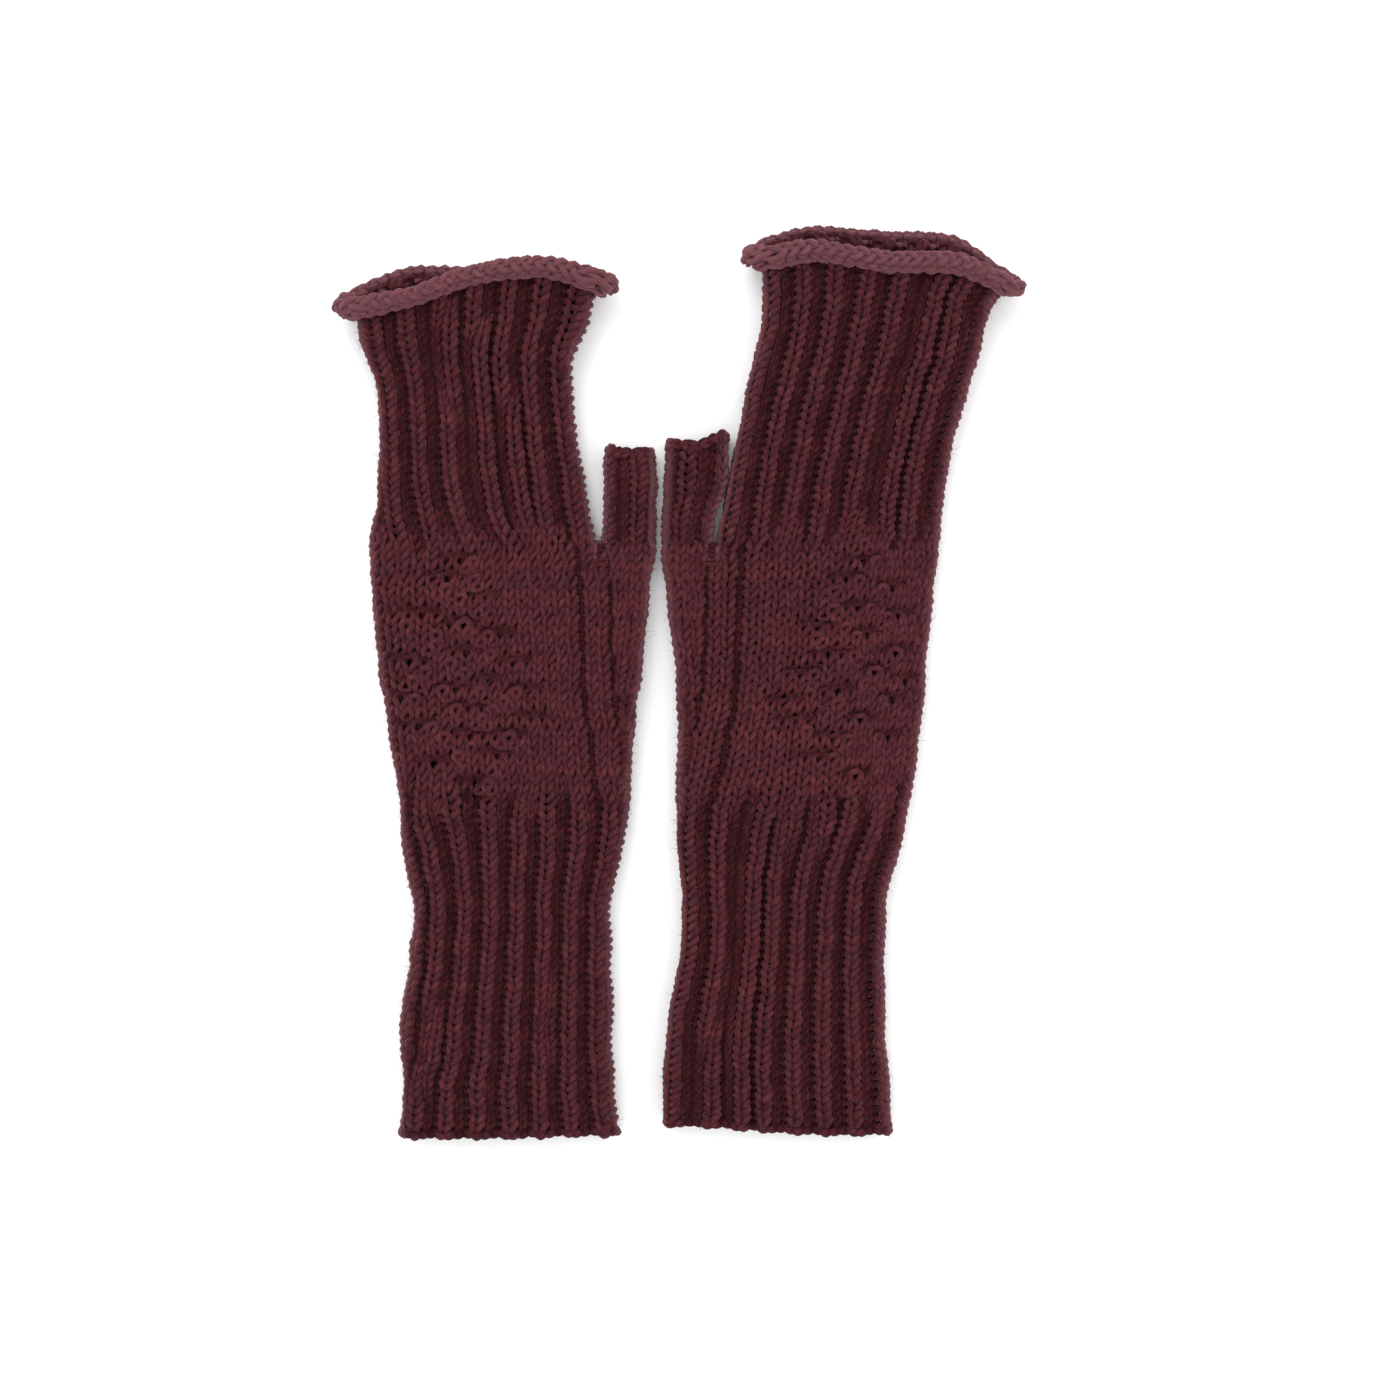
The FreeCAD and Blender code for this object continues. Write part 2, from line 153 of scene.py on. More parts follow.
class Drift:
    """A slow, even unevenness: a few sine waves of two variables, with seeded directions and phases."""

    def __init__(self, seed: int, lengths: Sequence[float], size: float) -> None:
        """Draws the waves.

        Args:
            seed: Which set of waves.
            lengths: The length of each wave.
            size: The root mean square of the sum.
        """
        draw = np.random.default_rng(seed)
        turn = draw.uniform(0, 2 * math.pi, len(lengths))
        pace = 2 * math.pi / np.asarray(lengths, float)
        self.first, self.second = pace * np.cos(turn), pace * np.sin(turn)
        self.phase = draw.uniform(0, 2 * math.pi, len(lengths))
        self.size = size * math.sqrt(2.0 / len(lengths))

    def __call__(self, first: np.ndarray, second: np.ndarray) -> np.ndarray:
        """size x the sum of sin(first x a + second x b + phase) over the waves."""
        first, second = np.broadcast_arrays(np.asarray(first, float), np.asarray(second, float))
        angle = first[..., None] * self.first + second[..., None] * self.second + self.phase
        return self.size * np.sin(angle).sum(-1)


# ---------------------------------------------------------------------------------------------------------
# Reading the frame
# ---------------------------------------------------------------------------------------------------------


def corners_of(node: str) -> np.ndarray:
    """Every vertex of a node of the frame, one row each."""
    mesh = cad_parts[node].data
    flat = np.empty(len(mesh.vertices) * 3, np.float32)
    mesh.vertices.foreach_get("co", flat)
    return flat.reshape(-1, 3).astype(float)


def slice_of(node: str, along: float) -> tuple[np.ndarray, np.ndarray]:
    """Where a node's faces cross the plane across Y.

    Args:
        node: The node's name.
        along: Y of the plane, kept a hair inside the node.

    Returns:
        The lowest and the highest corner of the cut.
    """
    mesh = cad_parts[node].data
    co = corners_of(node)
    hair = 0.05 * MM
    along = min(max(along, co[:, 1].min() + hair), co[:, 1].max() - hair)
    ends = np.empty(len(mesh.edges) * 2, np.int32)
    mesh.edges.foreach_get("vertices", ends)
    a, b = co[ends[0::2]], co[ends[1::2]]
    crossing = ((a[:, 1] - along) * (b[:, 1] - along) <= 0) & (a[:, 1] != b[:, 1])
    a, b = a[crossing], b[crossing]
    t = ((along - a[:, 1]) / (b[:, 1] - a[:, 1]))[:, None]
    cut = a + t * (b - a)
    return cut.min(0), cut.max(0)


def ends_of(node: str) -> tuple[np.ndarray, np.ndarray]:
    """The middles of the two ends of a node that runs along Y."""
    co = corners_of(node)
    near = co[:, 1] < co[:, 1].min() + 0.1 * MM
    far = co[:, 1] > co[:, 1].max() - 0.1 * MM
    return co[near].mean(0), co[far].mean(0)


# ---------------------------------------------------------------------------------------------------------
# The finish of the yarn
# ---------------------------------------------------------------------------------------------------------


Socket = bpy.types.NodeSocket


class Nodes:
    """A short way to write a material's nodes."""

    def __init__(self, name: str) -> None:
        """A new material with its shader and output."""
        self.material = bpy.data.materials.new(name)
        self.material.use_nodes = True
        self.tree = self.material.node_tree
        self.shader = self.tree.nodes["Principled BSDF"]

    def add(self, kind: str, inputs: Optional[dict] = None, **settings) -> bpy.types.Node:
        """Adds one node.

        Args:
            kind: The node's type, such as ShaderNodeMath.
            inputs: Socket name or number to a value or to another node's output.
            settings: The node's own properties.

        Returns:
            The node.
        """
        node = self.tree.nodes.new(kind)
        for name, value in settings.items():
            setattr(node, name, value)
        for socket, value in (inputs or {}).items():
            self.feed(node.inputs[socket], value)
        return node

    def feed(self, socket: Socket, value: object) -> None:
        """Links an output to a socket, or sets the socket's own value."""
        if isinstance(value, Socket):
            self.tree.links.new(value, socket)
        else:
            socket.default_value = value

    def sum_of(self, operation: str, *values: object, clamp: bool = False) -> Socket:
        """The output of one Math node, kept between 0 and 1 if clamp is set."""
        inputs = dict(enumerate(values))
        return self.add("ShaderNodeMath", inputs, operation=operation, use_clamp=clamp).outputs[0]

    def ranged(self, value: Socket, given: tuple, wanted: tuple) -> Socket:
        """The value moved from one range to another, and kept inside it."""
        inputs = dict(enumerate((value, *given, *wanted)))
        return self.add("ShaderNodeMapRange", inputs).outputs[0]

    def mixed(self, share: object, first: object, second: object) -> Socket:
        """The output of one colour Mix node: the first colour, or the second where the share is 1."""
        node = self.add("ShaderNodeMix", data_type="RGBA", blend_type="MIX")
        self.feed(node.inputs["Factor"], share)
        self.feed(node.inputs[6], first)
        self.feed(node.inputs[7], second)
        return node.outputs[2]

    def noise(self, vector: Socket, scale: float, **settings: float) -> Socket:
        """The output of one Noise node, with two octaves unless Detail says otherwise."""
        inputs = {0: vector, "Scale": scale, "Detail": 2.0, **settings}
        return self.add("ShaderNodeTexNoise", inputs).outputs[0]

    def attribute(self, name: str) -> Socket:
        """One of the piece's own attributes."""
        return self.add("ShaderNodeAttribute", attribute_name=name).outputs["Fac"]


@dataclass(frozen=True)
class WoolYarn:
    """A soft two-ply wool, dyed in slow patches, with loose fibres on its surface."""

    name: str = "wool_yarn"
    # The dye from one end of its range to the other: purple-grey, burgundy, wine and brick red.
    dyes: tuple = (
        (0.00, (0.026, 0.0056, 0.0092)),
        (0.35, (0.037, 0.0066, 0.0096)),
        (0.68, (0.049, 0.0084, 0.0105)),
        (1.00, (0.066, 0.0125, 0.0125)),
    )
    lint: tuple = (0.140, 0.041, 0.054)  # pale fibre colour: fine specks all over, painted highlight on the strands' tops and painted glow on the folds
    halo: tuple = (0.380, 0.185, 0.215)  # a paler pink, painted glow of light along the folds at the mitt's sides
    shade: tuple = (0.021, 0.0040, 0.0054)  # between the plies and deep in the fabric
    plies: int = 2
    twist: float = 5.2 * MM  # length of one turn of the plies
    bump: float = 0.30 * MM  # how high the plies and the fibres stand
    raised_lint: float = 0.42  # how much pale colour the fold attribute brings: painted glow on the folds, a paler rolled rim
    fold_halo: float = 0.17  # how strong the painted glow along the folds is
    roughness: float = 0.86
    sheen: float = 0.28
    sheen_roughness: float = 0.35
    sheen_tint: tuple = (1.0, 0.50, 0.55, 1.0)
    specular: float = 0.03

    def material(self) -> bpy.types.Material:
        """Builds the yarn's material.

        The UV map runs round the strand in U and along it in V, in metres. The plies are a sine of
        plies x U + V / twist, fibres are noise drawn out along the plies, and the dye is a colour ramp on the
        piece's own attribute. Painted shade goes into the grooves between the plies and where crown is low.
        Pale
        lint goes on as fibres x (heather x crown^2 + a share x the fold attribute): painted highlight on the
        strands' tops, painted glow on the folds and a paler rolled rim. A paler pink goes on as painted glow,
        a share x the fold attribute^3.

        Returns:
            The material.
        """
        make = Nodes(self.name)
        place = make.add("ShaderNodeTexCoord")
        spot = place.outputs["Object"]
        parts = make.add("ShaderNodeSeparateXYZ", {0: place.outputs["UV"]})
        way = parts.outputs[1]
        turn = make.sum_of("DIVIDE", way, self.twist)
        lay = make.sum_of("ADD", make.sum_of("MULTIPLY", parts.outputs[0], float(self.plies)), turn)
        wave = make.sum_of("SINE", make.sum_of("MULTIPLY", lay, 2 * math.pi))
        ply = make.sum_of("MULTIPLY_ADD", wave, 0.5, 0.5)
        across, along = make.sum_of("MULTIPLY", lay, 9.0), make.sum_of("MULTIPLY", way, 170.0)
        drawn = make.add("ShaderNodeCombineXYZ", {0: across, 1: along, 2: 0.0}).outputs[0]
        fibres = make.noise(drawn, 1.0)
        fuzz = make.noise(spot, 2300.0, Roughness=0.6)

        # crown brings painted shade and highlight, the fold attribute painted glow on the folds
        crown, fuzz_and_glow = make.attribute("crown"), make.attribute("fuzz_and_glow")
        deep = self.shaded(make, self.dyed(make, spot), ply, crown)
        colour = self.with_lint(make, deep, way, fibres, fuzz, crown, fuzz_and_glow)
        make.feed(make.shader.inputs["Base Color"], colour)

        height = make.sum_of("MULTIPLY_ADD", fibres, 0.55, ply)
        rough = make.sum_of("MULTIPLY_ADD", fuzz, 0.9, height)
        bump = make.add("ShaderNodeBump", {"Strength": 0.85, "Distance": self.bump, "Height": rough})
        make.feed(make.shader.inputs["Normal"], bump.outputs[0])
        for socket, value in (
            ("Roughness", self.roughness),
            ("Sheen Weight", self.sheen),
            ("Sheen Roughness", self.sheen_roughness),
            ("Sheen Tint", self.sheen_tint),
            ("Specular IOR Level", self.specular),
        ):
            make.shader.inputs[socket].default_value = value
        return make.material

    def dyed(self, make: Nodes, spot: Socket) -> Socket:
        """The dye: the ramp at the piece's own attribute, shifted up or down by broad clouds."""
        clouds = make.noise(spot, 55.0, Detail=3.0)
        shift = make.sum_of("MULTIPLY_ADD", clouds, 0.6, -0.3)
        ramp = make.add("ShaderNodeValToRGB", {0: make.sum_of("ADD", make.attribute("dye"), shift)})
        stops = ramp.color_ramp.elements
        for i, (at, colour) in enumerate(self.dyes):
            stop = stops[i] if i < 2 else stops.new(at)
            stop.position, stop.color = at, (*colour, 1.0)
        return ramp.outputs[0]

    def shaded(self, make: Nodes, colour: Socket, ply: Socket, crown: Socket) -> Socket:
        """The colour with shade in the grooves between the plies and deep in the fabric."""
        groove = make.ranged(ply, (0.0, 0.45), (0.55, 0.0))
        tucked = make.ranged(crown, (0.0, 0.70), (0.85, 0.0))
        grooved = make.mixed(groove, colour, (*self.shade, 1.0))
        return make.mixed(tucked, grooved, (*self.shade, 1.0))

    def with_lint(
        self,
        make: Nodes,
        colour: Socket,
        way: Socket,
        fibres: Socket,
        fuzz: Socket,
        crown: Socket,
        fuzz_and_glow: Socket,
    ) -> Socket:
        """The colour with pale lint: painted highlight where the yarn stands proud, fine pale specks, and a
        painted glow along the folds.

        Args:
            make: The material that is being made.
            colour: The colour without them.
            way: How far along the yarn.
            fibres: Noise drawn out along the plies.
            fuzz: Fine noise.
            crown: How proud the strand stands.
            fuzz_and_glow: The fold attribute: painted glow on the folds, a paler rolled rim and paler loose
                fibres.

        Returns:
            The finished colour.
        """
        stretch = make.add("ShaderNodeCombineXYZ", {0: make.sum_of("MULTIPLY", way, 260.0)}).outputs[0]
        uneven = make.ranged(make.noise(stretch, 1.0), (0.32, 0.68), (0.35, 1.3))
        # painted highlight: pale lint on the tops of the proudest strands, by crown squared
        painted_highlight = make.sum_of("MULTIPLY", uneven, make.sum_of("POWER", crown, 2.0))
        proud = make.sum_of("MULTIPLY_ADD", fuzz_and_glow, self.raised_lint, painted_highlight)
        specks = make.ranged(fibres, (0.36, 0.70), (0.15, 0.85))
        # share of pale lint: painted highlight and painted glow, streaked by the fibres
        pale_share = make.sum_of("MULTIPLY", specks, proud, clamp=True)
        highlighted = make.mixed(pale_share, colour, (*self.lint, 1.0))
        bloom = make.ranged(fuzz, (0.52, 0.8), (0.0, 0.10))
        bloomed = make.mixed(bloom, highlighted, (*self.lint, 1.0))
        # painted glow of light along the folds: a paler pink by the cube of the fold attribute
        folded = make.sum_of("POWER", fuzz_and_glow, 3.0)
        edge = make.sum_of("MULTIPLY", folded, self.fold_halo, clamp=True)
        return make.mixed(edge, bloomed, (*self.halo, 1.0))


@dataclass(frozen=True)
class PlainSurface:
    """The table: matt white with the faintest mottle."""

    name: str = "table_white"
    colour: tuple = (0.95, 0.95, 0.95)

    def material(self) -> bpy.types.Material:
        """Builds the table's material: two near whites mixed by a broad noise."""
        make = Nodes(self.name)
        place = make.add("ShaderNodeTexCoord")
        mottle = make.noise(place.outputs["Object"], 3.0)
        second = tuple(0.985 * part for part in self.colour)
        mixed = make.mixed(mottle, (*self.colour, 1.0), (*second, 1.0))
        make.feed(make.shader.inputs["Base Color"], mixed)
        make.shader.inputs["Roughness"].default_value = 0.9
        make.shader.inputs["Specular IOR Level"].default_value = 0.1
        return make.material


# ---------------------------------------------------------------------------------------------------------
# Yarn
# ---------------------------------------------------------------------------------------------------------


@dataclass
class Run:
    """A stretch of yarn: its middle line, the way out of the fabric beside it, its radius, dye and depth."""

    points: np.ndarray
    outward: np.ndarray
    radius: np.ndarray
    dye: np.ndarray
    depth: np.ndarray  # how far its middle line stands out of the fabric's middle

    def cut(self, start: int, end: int) -> "Run":
        """The run from one point to another."""
        part = slice(start, end)
        return Run(self.points[part], self.outward[part], self.radius[part], self.dye[part], self.depth[part])


class Skein:
    """Collects the runs of yarn of one piece and sweeps a round strand along them."""

    sides: int = 6  # faces round the strand; each end is closed by two faces of four corners
    crown_span: tuple = (-1.1 * MM, 1.65 * MM)  # the stand that counts as deepest, and as proudest
    fold_span: tuple = (0.98, 0.40)  # how upright outward is where a fold's painted glow starts, and where it is full
    fibre_radius: float = 0.1 * MM  # a thinner strand than this is a loose fibre
    fibre_fuzz_and_glow: float = 0.15  # what a loose fibre adds to the fold attribute, so that it is paler

    def __init__(self, fuzz_and_glow: float = 0.0) -> None:
        """An empty skein.

        Args:
            fuzz_and_glow: How much of the pale lint colour the whole piece gets, from 0 to 1.
        """
        self.fuzz_and_glow = fuzz_and_glow
        self.runs: list[Run] = []

    def lay(self, run: Run) -> None:
        """Adds one run, if it has a length."""
        if len(run.points) > 1:
            self.runs.append(run)

    def mesh(self, name: str) -> bpy.types.Mesh:
        """Sweeps the strand.

        At each point T is the direction to the next point from the one before, B is T x outward and N is
        B x T. A ring of the strand is point + radius (N cos a + B sin a) for evenly spaced angles a. Quads
        join each ring to the next one of its run, and pairs of quads close both ends.

        With f the share of a ring's direction that points outward, crown is a ramp on
        sign(f) x (depth + radius x f), times 0.25 + 0.75 |f|^1.3: 0 deep in the fabric, 1 where the strand
        stands proudest; the material paints shade where it is low and a highlight where it is high, so the
        valleys and each strand's sides are painted darker and its top lighter. fuzz_and_glow is a ramp on how
        far outward leans away from Z, so it is 1 on the folds at the mitt's sides, where the material paints
        a glow of light, or the skein's own share if that is more, and 0.15 more on the loose fibres.

        Args:
            name: The mesh's name.

        Returns:
            The mesh, with a UV map (round the strand, metres along it) and the attributes dye, crown (painted
            shade and highlight) and fuzz_and_glow (painted glow on the folds, pale lint on the rim and the
            fibres).
        """
        points, outward, radius, dye, depth = (
            np.concatenate([getattr(run, part) for run in self.runs])
            for part in ("points", "outward", "radius", "dye", "depth")
        )
        lengths = np.array([len(run.points) for run in self.runs])
        last = np.cumsum(lengths) - 1
        first = last - lengths + 1
        owner = np.repeat(np.arange(len(lengths)), lengths)
        index = np.arange(len(points))
        before = np.maximum(index - 1, first[owner])
        after = np.minimum(index + 1, last[owner])

        tangent = unit(points[after] - points[before])
        sideways = unit(np.cross(tangent, outward))
        normal = np.cross(sideways, tangent)
        angle = 2 * np.pi * np.arange(self.sides) / self.sides
        ring = normal[:, None] * np.cos(angle)[:, None] + sideways[:, None] * np.sin(angle)[:, None]
        rings = points[:, None] + radius[:, None, None] * ring
        facing = (ring * outward[:, None]).sum(-1)
        stand = np.sign(facing) * (depth[:, None] + radius[:, None] * facing)
        # painted shade deep in the fabric and on each strand's sides, painted highlight on its top
        crown = ease(stand, *self.crown_span) * (0.25 + 0.75 * np.abs(facing) ** 1.3)
        # painted glow of light on the folds at the mitt's sides, or the piece's own pale share, more on loose
        # fibres
        fold = np.maximum(ease(np.abs(outward[:, 2]), *self.fold_span), self.fuzz_and_glow)
        fold = fold + self.fibre_fuzz_and_glow * (radius < self.fibre_radius)

        travel = np.cumsum(np.linalg.norm(points - points[before], axis=1))
        faces, uv = self.faces(first, last, index[index < last[owner]], travel)
        mesh = self.written(name, rings.reshape(-1, 3), faces, uv)
        tones = {
            "dye": np.repeat(dye, self.sides),
            "crown": crown.ravel(),
            "fuzz_and_glow": np.repeat(fold, self.sides),
        }
        for tone, values in tones.items():
            layer = mesh.attributes.new(tone, "FLOAT", "POINT")
            layer.data.foreach_set("value", values.astype(np.float32))
        return mesh

    def faces(
        self, first: np.ndarray, last: np.ndarray, joined: np.ndarray, travel: np.ndarray
    ) -> tuple[np.ndarray, np.ndarray]:
        """The faces between the rings and over the runs' ends.

        Args:
            first: Each run's first ring.
            last: Each run's last ring.
            joined: The rings that have a next one in their run.
            travel: How far along the yarn each ring lies.

        Returns:
            Four corners for each face, and the UV of each corner.
        """
        sides = np.arange(self.sides)
        beyond = (sides + 1) % self.sides
        low, high = joined[:, None] * self.sides, (joined[:, None] + 1) * self.sides
        walls = np.stack([low + sides, low + beyond, high + beyond, high + sides], -1).reshape(-1, 4)
        u = np.stack([sides, sides + 1, sides + 1, sides], -1) / self.sides
        v_low, v_high = travel[joined][:, None], travel[joined + 1][:, None]
        v = np.stack([v_low + 0 * sides, v_low + 0 * sides, v_high + 0 * sides, v_high + 0 * sides], -1)
        walls_uv = np.stack([np.broadcast_to(u, v.shape), v], -1).reshape(-1, 2)

        halves = np.array([[0, 1, 2, 3], [0, 3, 4, 5]])
        start_caps = (first[:, None, None] * self.sides + halves[:, ::-1]).reshape(-1, 4)
        end_caps = (last[:, None, None] * self.sides + halves).reshape(-1, 4)
        caps_uv = np.zeros((4 * (len(start_caps) + len(end_caps)), 2))
        return np.concatenate([walls, start_caps, end_caps]), np.concatenate([walls_uv, caps_uv])

    @staticmethod
    def written(name: str, corners: np.ndarray, faces: np.ndarray, uv: np.ndarray) -> bpy.types.Mesh:
        """Writes corners, faces and the UV of each face's corners into a new smooth mesh."""
        mesh = bpy.data.meshes.new(name)
        mesh.vertices.add(len(corners))
        mesh.vertices.foreach_set("co", corners.astype(np.float32).ravel())
        mesh.loops.add(faces.size)
        mesh.loops.foreach_set("vertex_index", faces.astype(np.int32).ravel())
        mesh.polygons.add(len(faces))
        mesh.polygons.foreach_set("loop_start", np.arange(0, faces.size, 4, dtype=np.int32))
        mesh.polygons.foreach_set("use_smooth", np.ones(len(faces), bool))
        mesh.update(calc_edges=True)
        layer = mesh.uv_layers.new(name="yarn")
        layer.data.foreach_set("uv", uv.astype(np.float32).ravel())
        return mesh


# ---------------------------------------------------------------------------------------------------------
# The surface that the fabric lies on
# ---------------------------------------------------------------------------------------------------------


def stadium(around: np.ndarray, half: np.ndarray, radius: np.ndarray) -> tuple[np.ndarray, ...]:
    """A stadium by arc length: a half round, a straight run, a half round and a straight run back.

    With a the distance from the thumb-side end either way, the first quarter round takes a up to
    radius x pi / 2, the straight run takes the next half - pi x radius, and the last quarter round the rest.

    Args:
        around: Arc length from the thumb-side end, positive over the top; it wraps.
        half: Half of the way round.
        radius: Radius of the half rounds.

    Returns:
        Distance towards the thumb, height above the middle, and the outward direction's two parts.
    """
    run = half - math.pi * radius
    wrapped = np.mod(around + half, 2 * half) - half
    layer = np.where(wrapped < 0, -1.0, 1.0)
    far = np.abs(wrapped)
    first = np.clip(far / radius, 0, math.pi / 2)
    straight = np.clip(far - radius * math.pi / 2, 0, run)
    last = np.clip((far - radius * math.pi / 2 - run) / radius, 0, math.pi / 2)
    out = np.cos(first) - np.sin(last)
    up = layer * (np.sin(first) + np.cos(last) - 1)
    return run / 2 - straight + radius * out, radius * up, out, up


@dataclass
class Tube:
    """A flattened tube along Y, read from the frame.

    Its section at a place is a stadium between two edges, both a wall's half inside the frame's outline.
    """

    thumb_edge: Callable
    far_edge: Callable
    bottom: Callable
    top: Callable
    wall: float
    out: int

    def half(self, along: np.ndarray) -> np.ndarray:
        """Half of the way round the mid-surface: width less height, plus pi times the end radius."""
        width = self.out * (self.thumb_edge(along) - self.far_edge(along))
        height = self.top(along) - self.bottom(along)
        return width - height + math.pi * (height - self.wall) / 2

    def place(self, around: np.ndarray, along: np.ndarray) -> tuple[np.ndarray, np.ndarray]:
        """Points of the mid-surface and its outward directions, one row each."""
        height = self.top(along) - self.bottom(along)
        across, up, normal_out, normal_up = stadium(around, self.half(along), (height - self.wall) / 2)
        middle = (self.thumb_edge(along) + self.far_edge(along)) / 2
        level = (self.top(along) + self.bottom(along)) / 2
        points = np.stack([middle + self.out * across, along + 0 * across, level + up], -1)
        return points, np.stack([self.out * normal_out, 0 * normal_out, normal_up], -1)


def bow(values: Sequence[float]) -> Line:
    """A smooth curve through even stations, given in millimetres from the far edge to the thumb side."""
    return Line(np.linspace(-1, 1, len(values)), np.array(values, float) * MM)


@dataclass(frozen=True)
class Lie:
    """How one mitt happens to lie on the table. The bows run from the far edge to the thumb side."""

    rim_front: tuple  # how far the upper layer's end stands beyond the rim's plane
    rim_back: tuple  # and the lower layer's
    hem: tuple  # how far the cast-on edge is drawn up
    tip: tuple  # how far the thumb's end stands out
    flare: float  # how much wider the cast-on edge lies on each side
    neck: float  # how much narrower the fingers are on each side just below the rim
    belly: float  # how much the thumb bulges towards the fingers
    lean_over: float  # and away from them


@dataclass
class Rim:
    """How the finger opening stands: the plane of its end, and how its two layers bow out of that plane."""

    end: float  # along, where the tube ends and the roll starts
    start: float  # along, where the fabric starts to slant
    tilt: float  # rise in Y for each metre of X
    slope: float  # rise in Y for each metre of Z
    middle: np.ndarray
    half_width: float
    out: int
    front: Line
    back: Line
    radius: float
    tighten: float

    def slant(self, points: np.ndarray, along: np.ndarray) -> np.ndarray:
        """How far Y moves: the plane's tilt and slope plus the bow of the layer, eased in over the fabric."""
        share = ease(along, self.start, self.end)
        off = points - self.middle
        position = self.out * off[..., 0] / self.half_width
        top = np.clip(0.5 + off[..., 2] / (12 * MM), 0, 1)
        bowed = top * self.front(position) + (1 - top) * self.back(position)
        return share * (self.tilt * off[..., 0] + self.slope * off[..., 2] + bowed)

    def size_at(self, points: np.ndarray) -> np.ndarray:
        """The roll's radius: radius x (1 + 0.2 |position|^3), so that it is fuller at both ends."""
        position = np.clip(np.abs(points[..., 0] - self.middle[0]) / self.half_width, 0, 1)
        return self.radius * (1 + 0.2 * position**3)


